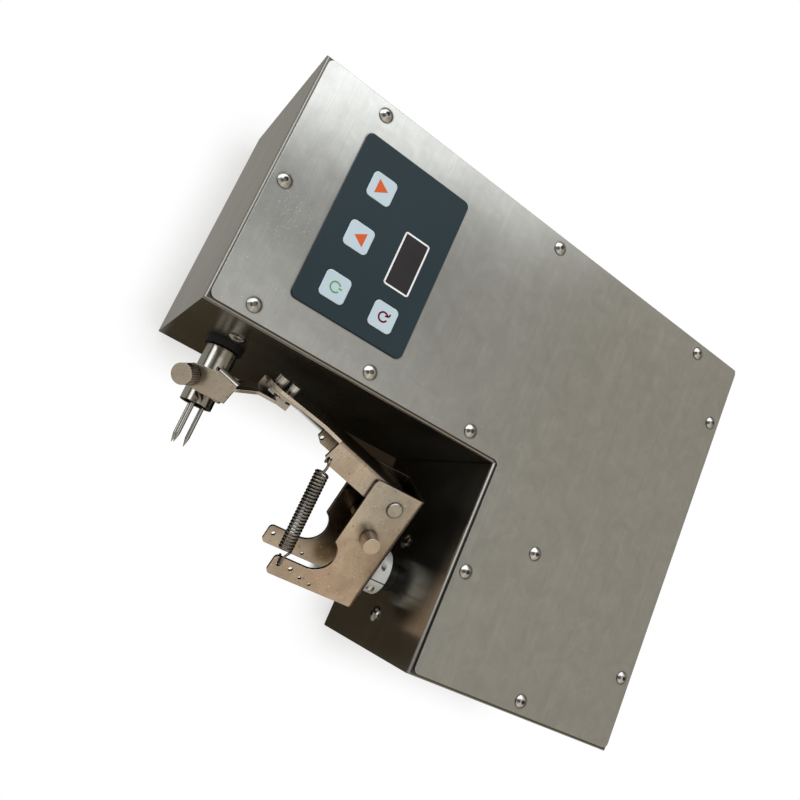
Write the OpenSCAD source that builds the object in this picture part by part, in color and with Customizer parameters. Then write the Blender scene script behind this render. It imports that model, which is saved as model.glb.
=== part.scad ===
// Fruit and vegetable peeling machine: an L-shaped steel case with a keypad on top,
// a driven spindle with a fork, and a swinging arm with a sprung blade lever.
// X runs along the spindle, Y runs from the user to the back, Z is up.

/* [Case] */
// Width of the case across its rear part
case_w = 320; // [310:1:350]
// Depth of the case from front to back
case_l = 400; // [390:1:430]
// Height of the case from base plate to cover
case_h = 150; // [146:1:165]
// Width of the peeling bay beside the column that carries the keypad
bay_w = 149; // [146:1:155]
// Depth of the rear part behind the peeling bay
rear_d = 183; // [176:1:190]
// Sheet thickness of the case
sheet = 1.5; // [1:0.1:2]
// Outer bend radius along the top edge of the case
bend_r = 3; // [2.5:0.1:4]
// Width of the folded lips that carry the cover and the base
lip_w = 18; // [17:0.5:22]
// Thickness of the top cover
cover_t = 1.5; // [1:0.1:2.5]
// Distance from the cover's edge to the outer face of the case
cover_inset = 2.2; // [1.5:0.1:3]
// Corner radius of the cover
cover_r = 4; // [2:0.5:6]
// Thickness of the base plate
base_t = 2; // [1.5:0.1:3]
// Height of the rubber feet
foot_h = 10; // [9:0.5:14]
// Diameter of the rubber feet
foot_d = 26; // [22:1:30]
// Distance from the foot's centre to the case's outer faces
foot_inset = 26; // [24:1:32]

/* [Fasteners] */
// Thread size of the cover screws, the foot screws and the blade screws
screw_d = 5; // [4:0.5:5]
// Thread size of the wall screws beside the shafts
wall_screw_d = 6; // [5:0.5:6]
// Thread size of the base, motor and collar screws
small_d = 4; // [3:0.5:4]
// Distance from the cover screws to the outer faces of the case
screw_inset = 10.7; // [10:0.1:12]
// Spacing of the cover screws along the left side
side_pitch = 152.5; // [140:0.5:160]
// Spacing of the cover screws along the bay side of the column
column_pitch = 81.5; // [70:0.5:88]
// Spacing of the cover screws along the back
back_pitch = 212.5; // [200:0.5:230]
// Position of the post under the inner cover screw, from the column's bay wall
post_dx = 42.5; // [36:0.5:46]
// Position of the post under the inner cover screw, from the bay's back wall
post_dy = 58; // [56:0.5:60]

/* [Keypad] */
// Distance from the keypad overlay to the column's sides
panel_margin = 26.75; // [24:0.25:30]
// Depth of the keypad overlay
panel_l = 80.5; // [76:0.5:88]
// Corner radius of the keypad overlay
panel_r = 4; // [2:0.5:6]
// Thickness of the keypad overlay
overlay_t = 1.5; // [1.3:0.1:2]
// Distance from the front face to the middle of the keypad
panel_y = 82.5; // [72:0.5:100]
// Side of the square keys
key_w = 17.3; // [14:0.1:18]
// Corner radius of the keys
key_r = 3; // [2:0.5:4]
// Travel of a key
key_travel = 0.5; // [0.3:0.1:0.6]
// Height of the keys above the overlay
key_proud = 0.5; // [0.3:0.1:0.8]
// Width of the display window
window_w = 37.5; // [34:0.5:40]
// Depth of the display window
window_l = 18.5; // [16:0.5:20]
// Distance from the cover's underside to the control board
board_gap = 12; // [11:0.5:16]
// Height of the key switches on the board
switch_h = 8; // [6:0.5:9]

/* [Spindle] */
// Distance from the front face to the spindle's axis
spindle_y = 35; // [34:0.5:38]
// Height of the spindle and swing axes above the case's underside
axis_h = 75; // [74:0.5:80]
// Diameter of the shafts inside their bearings
journal_d = 17; // [16:0.5:17.5]
// Diameter of the spindle inside the fork head
spindle_d = 18; // [17.8:0.1:19]
// Diameter of the fork head
head_d = 21.5; // [20.5:0.5:24]
// Distance from the column's wall to the fork head's end
head_reach = 46; // [44:0.5:48]
// Length of the fork head
head_l = 40; // [38:0.5:40]
// Length of the fork's pins outside the fork head
pin_l = 28; // [22:1:30]
// Diameter of the fork's pins
pin_d = 3; // [2.5:0.1:3.2]
// Outer diameter of the black ring round the spindle
spindle_ring_d = 26; // [25:0.5:30]
// Length of the black ring round the spindle
spindle_ring_l = 5; // [3:0.5:5]
// Outer diameter of the black ring round the swing shaft
swing_ring_d = 20; // [19.5:0.5:26]
// Length of the black ring round the swing shaft
swing_ring_l = 10; // [8:0.5:10]
// Distance from a shaft's axis to its wall screws
wall_screw_r = 28.75; // [28:0.25:32]
// Length of the bearing blocks
block_l = 48; // [40:1:50]
// Distance between the spindle and its motor
belt_c = 95; // [90:1:100]
// Diameter of the spindle's pulley under the belt
pulley_d = 48; // [44:1:52]
// Diameter of the motor's pulley under the belt
motor_pulley_d = 24; // [22:1:26]
// Width of the pulleys
pulley_w = 16; // [14:1:18]

/* [Swing arm] */
// Distance from the column's wall to the swing axis
swing_dx = 95; // [94:0.5:98]
// Angle by which the parked arm leans up from the spindle
park_angle = 26.4; // [24:0.2:30]
// Thickness of the clamp collar
collar_t = 12.5; // [12:0.5:13.5]
// Outer diameter of the clamp collar
collar_d = 34; // [32:0.5:38]
// Sheet thickness of the swing bracket
plate_t = 2.5; // [2:0.1:3]
// Width of the swing bracket over its two plates
bracket_w = 43; // [41:0.5:46]
// Depth of the bracket's plates in front of their web
plate_d = 40; // [39:0.5:42]
// Reach of the bracket's plates on the lever's side of the swing axis
plate_up = 69; // [67:0.5:72]
// Reach of the bracket's plates on the spring's side of the swing axis
plate_down = 24.5; // [23:0.5:27]
// Reach of the spring arms in front of the web
arm_reach = 70.5; // [68:0.5:74]
// Radius of the round cut-out in the plates
bite_r = 14; // [12:0.5:15]
// Distance from the swing axis to the cut-out's centre
bite_a = 4; // [3:0.5:6]
// Distance from the web to the cut-out's centre
bite_y = 47; // [46:0.5:50]
// Diameter of the pivot pin and of the stop pin
pivot_d = 11; // [9:0.5:12]
// Distance from the swing axis to the pivot pin
pivot_a = 55.2; // [53:0.1:56]
// Distance from the web to the pivot pin
pivot_y = 17.3; // [16:0.1:18]
// Distance from the swing axis to the stop pin
stop_a = 29; // [28:0.5:31]
// Distance from the web to the stop pin
stop_y = 21.5; // [20:0.5:23]
// Height of the stop pin above the bracket
stop_proud = 12; // [6:0.5:14]

/* [Blade lever] */
// Sheet thickness of the lever
lever_t = 2.5; // [2:0.1:2.8]
// Gap between the lever's flanges and the bracket's plates
lever_gap = 0.4; // [0.3:0.1:1]
// Width of the lever's flanges
flange_w = 18; // [17:0.5:20]
// Length of the lever's channel in front of the pivot
channel_l = 62; // [60:0.5:66]
// Angle by which the lever leans away from the fruit
lever_lean = 13.8; // [12:0.1:14]
// Angle by which the lever can swing in until it meets the stop pin
lever_in = 8; // [4:0.5:8]
// Distance from the pivot to the bend in the strip
bend_q = 76; // [74:0.5:82]
// Angle of the bend in the strip
strip_bend = 5.3; // [4:0.1:6]
// Length of the strip past its bend
strip_l = 43.5; // [42:0.5:48]
// Width of the strip at its round end
strip_w = 22; // [20:0.5:26]
// Wire diameter of the tension spring
wire_d = 1.5; // [1.2:0.1:1.6]
// Mean diameter of the tension spring's coils
coil_d = 8.4; // [7.5:0.1:9]
// Number of coils in the tension spring
coil_n = 24; // [18:1:28]

/* [Blade end] */
// Sheet thickness of the blade bracket
holder_t = 2; // [1.5:0.1:2.5]
// Tilt of the holder plate
holder_tilt = 30; // [28:0.5:32]
// Diameter of the thumb screw's head
thumb_d = 13.5; // [13:0.5:16]
// Height of the thumb screw's head
thumb_h = 12; // [9:0.5:14]
// Height of the blade
blade_h = 7; // [5:0.5:7]
// Thickness of the blade
blade_t = 1.2; // [0.8:0.1:1.5]

/* [Hidden] */
$fn = 64;

// Clearances
screw_play = 0.3;
fit_play = 0.1;
running_play = 0.06;
side_play = 0.3;
cut = 1;
arc_steps = 6;

// Case
column_w = case_w - bay_w;
wall_y = case_l - rear_d;
shell_h = case_h - cover_t - base_t;
inlet_lip = 2;
post_at = [column_w + post_dx, wall_y + post_dy];
post_d = 12;
screw_l = 10;
cover_points = concat(
    [for (k = [-1 : 1]) [screw_inset, case_l / 2 + k * side_pitch]],
    [[column_w / 2, screw_inset]],
    [for (k = [-1 : 1]) [column_w - screw_inset, wall_y / 2 + k * column_pitch]],
    [for (k = [-0.5, 0.5]) [case_w / 2 + k * back_pitch, case_l - screw_inset]],
    [[case_w - screw_inset, wall_y + rear_d / 2]],
    [[(column_w + case_w) / 2, wall_y + screw_inset]],
    [post_at]
);
base_points = [
    [lip_w / 2, case_l / 2],
    [column_w / 2, lip_w / 2],
    [column_w - lip_w / 2, wall_y / 2],
    [case_w / 2, case_l - lip_w / 2],
    [case_w - lip_w / 2, wall_y + rear_d / 2],
    [(column_w + case_w) / 2, wall_y + lip_w / 2],
    post_at
];
foot_points = [
    [foot_inset, foot_inset],
    [column_w - foot_inset, foot_inset],
    [foot_inset, case_l - foot_inset],
    [case_w - foot_inset, case_l - foot_inset],
    [case_w - foot_inset, wall_y + foot_inset]
];
foot_recess = 5;
foot_bore = 2.3 * screw_d;
foot_taper = 4;
foot_grip = 3;
base_grip = 6;

// Keypad
panel_x = column_w / 2;
panel_w = column_w - 2 * panel_margin;
key_left = 19.3;
key_right = 9.9;
key_front = 13.9;
key_back = 13.8;
key_x1 = key_left + key_w / 2 - panel_w / 2;
key_x3 = panel_w / 2 - key_right - key_w / 2;
key_y1 = key_front + key_w / 2 - panel_l / 2;
key_y2 = panel_l / 2 - key_back - key_w / 2;
key_points = [[key_x1, key_y1], [(key_x1 + key_x3) / 2, key_y1], [key_x3, key_y1], [key_x3, key_y2]];
window_gap = 11;
window_at = [key_x3 - key_w / 2 - window_gap - window_w / 2, key_y2];
window_r = 0.8;
key_spare = 0.15;
key_float = key_travel + key_spare;
key_root = 0.2;
stem_d = 5;
board_t = 1.6;
board_top = case_h - cover_t - board_gap;
stem_end = board_top + switch_h + key_travel + fit_play;
switch_w = 12;
switch_cap_d = 7;
switch_base_h = 4;
board_inset = 4;
board_w = panel_w - 2 * board_inset;
board_l = panel_l - 2 * board_inset;
board_margin = 4;
board_screw_d = 3;
board_grip = 6;
standoff_d = 6;
standoff_cap = 2;
display_w = window_w - 5;
display_l = window_l - 4;

// Spindle and its drive
wall_hole_d = journal_d + 2;
bearing_d = 35;
bearing_w = 10;
bearing_lip = 3;
block_d = 48;
block_flange_t = 8;
block_flange_r = 6;
block_flange_end = 8;
block_gap = 4;
wall_grip = 2;
block_x = column_w - sheet - block_l;
pulley_x = block_x - block_gap - pulley_w;
pulley_rim = 1.5;
belt_t = 2;
belt_w = pulley_w - 2 * pulley_rim - 2 * side_play;
head_x = column_w + head_reach - head_l;
head_floor = 9;
head_step = 0.3;
mouth_d = 15.5;
mouth_deep = 3;
pin_circle_r = 5;
pin_root = 8;
pin_tip = 6;
pin_point_d = 0.4;
motor_w = 57;
motor_corner_r = 4;
motor_plate_t = 4;
motor_plate_gap = 2;
motor_plate_x = pulley_x - motor_plate_gap - motor_plate_t;
motor_room = 29.5;
motor_l = motor_plate_x - motor_room;
motor_shaft_d = 8;
motor_boss_d = 38;
motor_boss_h = 2;
motor_bolt = 47.1;
motor_foot_l = 44;
motor_hole_l = 8;
motor_grip = 6;
motor_screw_head_d = 7;
motor_screw_head_h = 1.6;

// Swing drive
swing_x = column_w + swing_dx;
hub_gap = 0.5;
arm_y = wall_y - swing_ring_l - hub_gap - collar_t;
block_y = wall_y + sheet;
gear_gap = 22;
gear_y = block_y + block_l + gear_gap;
gear_w = 64;
gear_l = 56;
gear_h = 74;
gear_motor_d = 54;
gear_motor_l = 85;
gear_motor_drop = 8;
stand_t = 3;
shaft_end = 4;
collar_split = 1;
collar_screw_r = 12.8;
collar_screw_l = 14;
collar_head_a = 5;
collar_head_h = 4;
collar_head_d = 1.8 * small_d;
bracket_screw_a = 6;
bracket_screw_n = 11;
bracket_grip = 3.5;
bracket_hole = 4;

// Swing bracket
bracket_h = bracket_w / 2;
bracket_bend_r = 4;
plate_corner_r = 4;
arm_corner_r = 3;
arm_a = bite_r - bite_a;
hook_d = 3.2;
hook_a = plate_down - 9;
hook_y = arm_reach - 5;
spare_hole_y = hook_y - 9.3;
dot_d = 2.4;
dots = [[plate_down - 5.6, 47], [plate_down - 3.8, 38.2]];
pivot_head_d = 14;
pivot_head_h = 2.5;
pivot_proud = 0.7;
stop_head_d = pivot_d + 1;

// Blade lever
lever_h = bracket_h - plate_t - lever_gap;
web_set = 1.4;
web_p = -flange_w / 2 - web_set;
edge_p = web_p + flange_w;
lever_rear = 6;
lever_eye_r = 9;
lever_bend_r = 3;
end_chamfer = [3, 5];
hook_edge = 3.7;
hook_end = 3.1;
lever_hook = [edge_p - hook_edge, hook_end - channel_l];
strip_p = web_p + lever_t / 2;
stop_reach = 27;
stop_span = 24;
stop_at = [pivot_a - stop_a, pivot_y - stop_y];
stop_spare = 0.4;
stop_face = atan2(stop_at[1], stop_at[0]) - asin((pivot_d / 2 + stop_spare) / norm(stop_at))
    - lever_in + lever_lean;
strip_taper = (lever_h - strip_w / 2) / (bend_q - channel_l + strip_l - strip_w / 2);
strip_bend_h = lever_h - strip_taper * (bend_q - channel_l);
blade_screw_t = [-27.1, -36.4];
blade_hole_d = screw_d + screw_play;

// Tension spring
hook_reach = 7;
hook_open = 100;
spring_from = concat(lever_to_arm(lever_hook), [lever_h - lever_t / 2]);
spring_to = [hook_a, -hook_y, bracket_h - plate_t / 2];
spring_turns = coil_n + 0.5;
curl_rings = 8;
wire_sides = 6;
hook_steps = 12;
turn_steps = 6;
spring_run = spring_to - spring_from;
spring_axis = spring_run / norm(spring_run);
spring_side = cross([0, 0, 1], spring_axis) / norm(cross([0, 0, 1], spring_axis));
spring_up = cross(spring_axis, spring_side);
coil_r = coil_d / 2;
coil_l = norm(spring_run) - 2 * coil_r - 2 * hook_reach;

// Blade end
tab_w = 18;
tab_end = -19.5;
leg_n = -tab_w / 2;
leg_s = 12.6;
leg_end = -45.2;
bracket_s = lever_t / 2;
arm_path = [[8, -33], [9.6, -44.9], [17.2, -57.3], [16.5, -71.3]];
arm_top = 8.7;
fold_t = -58;
holder_s = 0.4;
holder_points = [[15, 0], [28, 0], [33, -15], [35.4, -26], [22, -31], [15, -15]];
thumb_at = [28.6, -27.6];
thumb_eye_r = 7;
thumb_thread_l = 10;
thumb_lift = 0.1;
knurl_n = 28;
knurl_deep = 0.5;
carrier_t = 4;
carrier_points = [[20, -3], [31, -3], [33.5, -26], [30, -33], [24, -31], [20, -14]];
lug_s = 24;
lug_w = 3;
lug_from = -20;
lug_to = -6;
blade_edge = [29.4, -4];
nut_h = 2.7;
nut_af = 8;
washer_t = 1;
washer_d = 9;
cap_head_d = 8.5;
cap_head_h = 5;
holder_room = 100;

// Power
inlet_w = 28;
inlet_h = 21;
inlet_d = 24;
inlet_x = 62;
inlet_z = 42;
inlet_rim = 3;
inlet_wall = 2;
inlet_pin_back = 6;
inlet_pin = [2, 4];
inlet_pins = [[-7, -2], [7, -2], [0, 3]];
psu_x = 24;
psu_gap = 27;
psu_front = 20;
psu_back = 34;
psu_w = swing_x - gear_w / 2 - gear_motor_l - psu_gap - psu_x;
psu_l = rear_d - psu_front - psu_back;
psu_h = 40;

// Points along an arc
function arc(c, r, from, to) = [
    for (k = [0 : arc_steps])
        let (a = from + (to - from) * k / arc_steps) c + r * [cos(a), sin(a)]
];

// A closed outline with right-angled corners, each rounded by r
function soften(pts, r) = [
    for (i = [0 : len(pts) - 1])
        let (
            p = pts[i],
            a = pts[(i + len(pts) - 1) % len(pts)],
            b = pts[(i + 1) % len(pts)],
            u = (a - p) / norm(a - p),
            v = (b - p) / norm(b - p)
        )
        for (k = [0 : arc_steps])
            let (t = 90 * k / arc_steps) p + r * (u + v) - r * (v * cos(t) + u * sin(t))
];

function rect(w, l) = [[-w / 2, -l / 2], [w / 2, -l / 2], [w / 2, l / 2], [-w / 2, l / 2]];

// The case's L-shaped outline, drawn in by g
function ell(g) = [
    [g, g],
    [column_w - g, g],
    [column_w - g, wall_y + g],
    [case_w - g, wall_y + g],
    [case_w - g, case_l - g],
    [g, case_l - g]
];

// A flat-bottomed profile with two rounded top corners
function loaf_profile(w, h, r) = concat(
    [[0, 0], [w, 0]], arc([w - r, h - r], r, 0, 90), arc([r, h - r], r, 90, 180)
);

// A channel profile: web on the left, open to the right, with round outer corners
function channel_profile(w, h, t, r) = concat(
    arc([r, h / 2 - r], r, 180, 90), [[w, h / 2], [w, h / 2 - t]],
    arc([r, h / 2 - r], r - t, 90, 180), arc([r, r - h / 2], r - t, 180, 270),
    [[w, t - h / 2], [w, -h / 2]], arc([r, r - h / 2], r, 270, 180)
);

// The sideways step of a strip of unit half-width at point i of its path
function mitre(path, i) =
    let (
        a = path[i] - path[max(i - 1, 0)],
        b = path[min(i + 1, len(path) - 1)] - path[i],
        u = i == 0 ? b / norm(b) : a / norm(a),
        v = i == len(path) - 1 ? u : b / norm(b),
        m = [-u[1] - v[1], u[0] + v[0]]
    ) m / (1 + u * v);

// The outline of a strip of thickness t that follows a path
function ribbon(path, t) = concat(
    [for (i = [0 : len(path) - 1]) path[i] + mitre(path, i) * t / 2],
    [for (i = [len(path) - 1 : -1 : 0]) path[i] - mitre(path, i) * t / 2]
);

// A point of the lever's frame in the arm's frame
function lever_to_arm(p) = [
    -pivot_a + p[0] * cos(lever_lean) + p[1] * sin(lever_lean),
    -pivot_y - p[0] * sin(lever_lean) + p[1] * cos(lever_lean)
];

// Frames: the case's front left bottom corner, the shafts, the arm, the lever and the blade end
module in_case() translate([-case_w / 2, -(case_l + inlet_lip) / 2, foot_h]) children();
module on_spindle(x) in_case() translate([x, spindle_y, axis_h]) rotate([0, 90, 0]) children();
module on_motor(x) in_case() translate([x, spindle_y + belt_c, axis_h]) rotate([0, 90, 0]) children();
module on_swing(y) in_case() translate([swing_x, y, axis_h]) rotate([-90, 0, 0]) children();
module in_arm() in_case() translate([swing_x, arm_y, axis_h]) rotate([0, park_angle, 0]) children();
module in_lever() in_arm() translate([-pivot_a, -pivot_y, 0]) rotate([0, 0, -lever_lean]) children();
module in_strip() in_lever() translate([strip_p, -bend_q, 0]) rotate([0, 0, strip_bend]) children();
module in_holder() in_strip() translate([holder_s, fold_t, arm_top]) rotate([holder_tilt, 0, 0]) children();

// Extrudes an outline drawn in Y and Z along X, from x = from
module along_x(from, l) translate([from, 0, 0]) rotate([90, 0, 90]) linear_extrude(l) children();

module drill(points, d, from, l) for (p = points) translate([p[0], p[1], from]) cylinder(h = l, d = d);

// Button-head screw with its seat at z = 0 and its thread below
module button_screw(d, l) {
    head_h = 0.55 * d;
    rim = 0.12 * d;
    dome = head_h - rim;
    dome_r = (pow(0.95 * d, 2) + dome * dome) / (2 * dome);
    difference() {
        union() {
            intersection() {
                cylinder(h = head_h, d = 1.9 * d);
                translate([0, 0, head_h - dome_r]) sphere(dome_r);
            }
            translate([0, 0, -l]) cylinder(h = l + rim, d = d);
        }
        translate([0, 0, 0.22 * d]) cylinder(h = d, d = 0.68 * d, $fn = 6);
    }
}

// Socket-head screw with its seat at z = 0 and its thread below
module cap_screw(d, l, head_d, head_h) {
    difference() {
        union() {
            cylinder(h = head_h, d = head_d);
            translate([0, 0, -l]) cylinder(h = l + cut, d = d);
        }
        translate([0, 0, head_h / 2]) cylinder(h = head_h, d = 0.9 * d, $fn = 6);
    }
}

// Case

// A box with its four top edges rounded
module loaf(w, l, h, r) {
    intersection() {
        translate([0, l, 0]) rotate([90, 0, 0]) linear_extrude(l) polygon(loaf_profile(w, h, r));
        along_x(0, w) polygon(loaf_profile(l, h, r));
    }
}

module shell_form(g) {
    translate([g, g, g]) loaf(column_w - 2 * g, case_l - 2 * g, shell_h - 2 * g, bend_r - g);
    translate([g, wall_y + g, g]) loaf(case_w - 2 * g, rear_d - 2 * g, shell_h - 2 * g, bend_r - g);
}

module wall_drill() {
    on_spindle(column_w - sheet - cut) cylinder(h = sheet + 2 * cut, d = wall_hole_d);
    on_spindle(column_w - sheet - cut) for (s = [-1, 1]) translate([s * wall_screw_r, 0, 0])
        cylinder(h = sheet + 2 * cut, d = wall_screw_d + screw_play);
    on_swing(wall_y - cut) cylinder(h = sheet + 2 * cut, d = wall_hole_d);
    on_swing(wall_y - cut) for (s = [-1, 1]) translate([s * wall_screw_r, 0, 0])
        cylinder(h = sheet + 2 * cut, d = wall_screw_d + screw_play);
}

module housing_shell() color("#8f8a82") difference() {
    in_case() translate([0, 0, base_t]) difference() {
        shell_form(0);
        shell_form(sheet);
        translate([0, 0, -cut]) linear_extrude(shell_h + 2 * cut) polygon(ell(lip_w));
        drill(cover_points, screw_d + screw_play, shell_h / 2, shell_h);
        drill(foot_points, screw_d + screw_play, -cut, 2 * cut + sheet);
        drill(base_points, small_d + screw_play, -cut, 2 * cut + sheet);
    }
    wall_drill();
    in_inlet() translate([0, -inlet_d / 2, 0])
        cube([inlet_w + fit_play, inlet_d, inlet_h + fit_play], center = true);
}

module base_plate() color("#8a867f") in_case() difference() {
    linear_extrude(base_t) polygon(ell(side_play));
    drill(foot_points, screw_d + screw_play, -cut, base_t + 2 * cut);
    drill(base_points, small_d + screw_play, -cut, base_t + 2 * cut);
}

module top_cover() color("#a9a69f") in_case() difference() {
    translate([0, 0, case_h - cover_t]) linear_extrude(cover_t)
        polygon(soften(ell(cover_inset), cover_r));
    drill(cover_points, screw_d + screw_play, case_h - cover_t - cut, cover_t + 2 * cut);
    translate([panel_x, panel_y, case_h - cover_t - cut]) {
        drill(key_points, stem_d + 4 * side_play, 0, cover_t + 2 * cut);
        translate(window_at) linear_extrude(cover_t + 2 * cut)
            polygon(rect(display_w + cut, display_l + cut));
    }
}

module cover_screws() color("#d8d6d0") in_case()
    for (p = cover_points) translate([p[0], p[1], case_h]) button_screw(screw_d, screw_l);

module cover_post() color("#b9b5ab") in_case() translate([post_at[0], post_at[1], base_t]) difference() {
    cylinder(h = shell_h, d = post_d);
    translate([0, 0, -cut]) cylinder(h = screw_l + cut, d = small_d + screw_play);
    translate([0, 0, shell_h - screw_l]) cylinder(h = screw_l + cut, d = screw_d + screw_play);
}

module base_screws() color("#c4c1ba") in_case()
    for (p = base_points) translate(p) rotate([180, 0, 0]) button_screw(small_d, base_t + base_grip);

module feet() color("#26262a") in_case() for (p = foot_points)
    translate([p[0], p[1], -foot_h]) difference() {
        cylinder(h = foot_h, d1 = foot_d - foot_taper, d2 = foot_d);
        translate([0, 0, -cut]) cylinder(h = foot_recess + cut, d = foot_bore);
        cylinder(h = foot_h + cut, d = screw_d + screw_play);
    }

module foot_screws() color("#c4c1ba") in_case()
    for (p = foot_points) translate([p[0], p[1], foot_recess - foot_h]) rotate([180, 0, 0])
        button_screw(screw_d, foot_h - foot_recess + base_t + sheet + foot_grip);

// Keypad

module on_panel() in_case() translate([panel_x, panel_y, case_h]) children();

module keypad_overlay() color("#333d46") on_panel() difference() {
    linear_extrude(overlay_t) polygon(soften(rect(panel_w, panel_l), panel_r));
    for (p = key_points) translate([p[0], p[1], -cut]) linear_extrude(overlay_t + 2 * cut)
        polygon(soften(rect(key_w + 2 * side_play, key_w + 2 * side_play), key_r + side_play));
    translate([window_at[0], window_at[1], -cut]) linear_extrude(overlay_t + 2 * cut)
        polygon(soften(rect(window_w + fit_play, window_l + fit_play), window_r));
}

module display_window() color("#2e2a2e") on_panel() translate(window_at)
    linear_extrude(overlay_t) polygon(soften(rect(window_w, window_l), window_r));

module key(i, tint) color(tint) on_panel() translate(key_points[i]) {
    translate([0, 0, key_float]) linear_extrude(overlay_t - key_float + key_proud)
        polygon(soften(rect(key_w, key_w), key_r));
    translate([0, 0, stem_end - case_h]) cylinder(h = case_h - stem_end + key_float + key_root, d = stem_d);
}

module up_key() key(0, "#d5dfea");
module down_key() key(1, "#d5dfea");
module start_key() key(2, "#d5dfea");
module reset_key() key(3, "#d5dfea");

module on_board() in_case() translate([panel_x, panel_y, board_top]) children();

function board_corners() = [
    for (x = [-1, 1], y = [-1, 1])
        [x * (board_w / 2 - board_margin), y * (board_l / 2 - board_margin)]
];

module control_board() color("#1f5a3a") on_board() difference() {
    translate([0, 0, -board_t]) linear_extrude(board_t) polygon(rect(board_w, board_l));
    drill(board_corners(), board_screw_d + screw_play, -board_t - cut, board_t + 2 * cut);
}

module key_switches() color("#222222") on_board() for (p = key_points) translate(p) {
    translate([-switch_w / 2, -switch_w / 2, 0]) cube([switch_w, switch_w, switch_base_h]);
    cylinder(h = switch_h, d = switch_cap_d);
}

module display_module() color("#3a3236") on_board() translate(window_at)
    linear_extrude(board_gap + cover_t - side_play) polygon(rect(display_w, display_l));

module board_standoffs() color("#c9b26a") on_board() for (p = board_corners()) translate(p) difference() {
    cylinder(h = board_gap, d = standoff_d);
    translate([0, 0, -cut]) cylinder(h = board_gap - standoff_cap, d = board_screw_d + screw_play);
}

module board_screws() color("#c4c1ba") on_board() for (p = board_corners())
    translate([p[0], p[1], -board_t]) rotate([180, 0, 0]) button_screw(board_screw_d, board_t + board_grip);

// Bearings and rings, drawn with the shaft along +Z from the wall's inner face outwards

module bearing_block(l) difference() {
    union() {
        cylinder(h = l, d = block_d);
        linear_extrude(block_flange_t)
            polygon(soften(rect(2 * wall_screw_r + 2 * block_flange_end, block_d), block_flange_r));
    }
    for (z = [-cut, l - bearing_w]) translate([0, 0, z])
        cylinder(h = bearing_w + cut, d = bearing_d + fit_play);
    translate([0, 0, -cut]) cylinder(h = l + 2 * cut, d = bearing_d - 2 * bearing_lip);
    for (s = [-1, 1]) translate([s * wall_screw_r, 0, -cut])
        cylinder(h = block_flange_t + 2 * cut, d = wall_screw_d + screw_play);
}

module bearing_pair(l) for (z = [0, l - bearing_w]) translate([0, 0, z]) difference() {
    cylinder(h = bearing_w, d = bearing_d);
    translate([0, 0, -cut]) cylinder(h = bearing_w + 2 * cut, d = journal_d + running_play);
}

module ring(d, l) difference() {
    cylinder(h = l, d = d);
    translate([0, 0, -cut]) cylinder(h = l + 2 * cut, d = journal_d + 2 * side_play);
}

module wall_screws() for (s = [-1, 1]) translate([s * wall_screw_r, 0, 0])
    button_screw(wall_screw_d, sheet + block_flange_t + wall_grip);

module spindle_ring() color("#1b1b1d") on_spindle(column_w) ring(spindle_ring_d, spindle_ring_l);
module swing_ring() color("#1b1b1d") on_swing(wall_y - swing_ring_l) ring(swing_ring_d, swing_ring_l);
module spindle_block() color("#9a9a98") on_spindle(column_w - sheet) mirror([0, 0, 1])
    bearing_block(block_l);
module swing_block() color("#9a9a98") on_swing(block_y) bearing_block(block_l);
module spindle_bearings() color("#c8c8c6") on_spindle(column_w - sheet) mirror([0, 0, 1])
    bearing_pair(block_l);
module swing_bearings() color("#c8c8c6") on_swing(block_y) bearing_pair(block_l);
module spindle_wall_screws() color("#d8d6d0") on_spindle(column_w) wall_screws();
module swing_wall_screws() color("#d8d6d0") on_swing(wall_y) mirror([0, 0, 1]) wall_screws();

// Spindle

module spindle_shaft() color("#b5aea2") {
    on_spindle(pulley_x) cylinder(h = column_w + spindle_ring_l + head_step - pulley_x, d = journal_d);
    on_spindle(column_w + spindle_ring_l + head_step)
        cylinder(h = head_reach - spindle_ring_l - head_step - head_floor, d = spindle_d);
}

module pin_places() for (a = [90, 210, 330]) rotate(a) translate([pin_circle_r, 0, 0]) children();

module fork_head() color("#a9a39a") on_spindle(head_x) difference() {
    cylinder(h = head_l, d = head_d);
    translate([0, 0, -cut]) cylinder(h = head_l - head_floor + cut, d = spindle_d + fit_play);
    translate([0, 0, head_l - mouth_deep]) cylinder(h = mouth_deep + cut, d = mouth_d);
    translate([0, 0, head_l - pin_root]) pin_places() cylinder(h = pin_root + cut, d = pin_d + fit_play);
}

module fork_pins() color("#c9c6bf") on_spindle(column_w + head_reach) pin_places() {
    translate([0, 0, -pin_root]) cylinder(h = pin_root + pin_l - pin_tip, d = pin_d);
    translate([0, 0, pin_l - pin_tip]) cylinder(h = pin_tip, d1 = pin_d, d2 = pin_point_d);
}

// A flanged belt pulley with the belt's seat at diameter d
module pulley(d, bore) difference() {
    union() {
        cylinder(h = pulley_w, d = d);
        for (z = [0, pulley_w - pulley_rim]) translate([0, 0, z])
            cylinder(h = pulley_rim, d = d + 2 * belt_t);
    }
    translate([0, 0, -cut]) cylinder(h = pulley_w + 2 * cut, d = bore);
}

module spindle_pulley() color("#b8b8b4") on_spindle(pulley_x) pulley(pulley_d, journal_d + fit_play);
module motor_pulley() color("#b8b8b4") on_motor(pulley_x) pulley(motor_pulley_d, motor_shaft_d + fit_play);
module motor_shaft() color("#c8c8c6") on_motor(motor_plate_x - motor_l / 3)
    cylinder(h = pulley_x + pulley_w - motor_plate_x + motor_l / 3, d = motor_shaft_d);

module belt_loop(grow, h) linear_extrude(h) hull() {
    circle(d = pulley_d + 2 * grow);
    translate([0, belt_c]) circle(d = motor_pulley_d + 2 * grow);
}

module drive_belt() color("#202022")
    on_spindle(pulley_x + pulley_rim + side_play) difference() {
        belt_loop(side_play + belt_t, belt_w);
        translate([0, 0, -cut]) belt_loop(side_play, belt_w + 2 * cut);
    }

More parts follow.
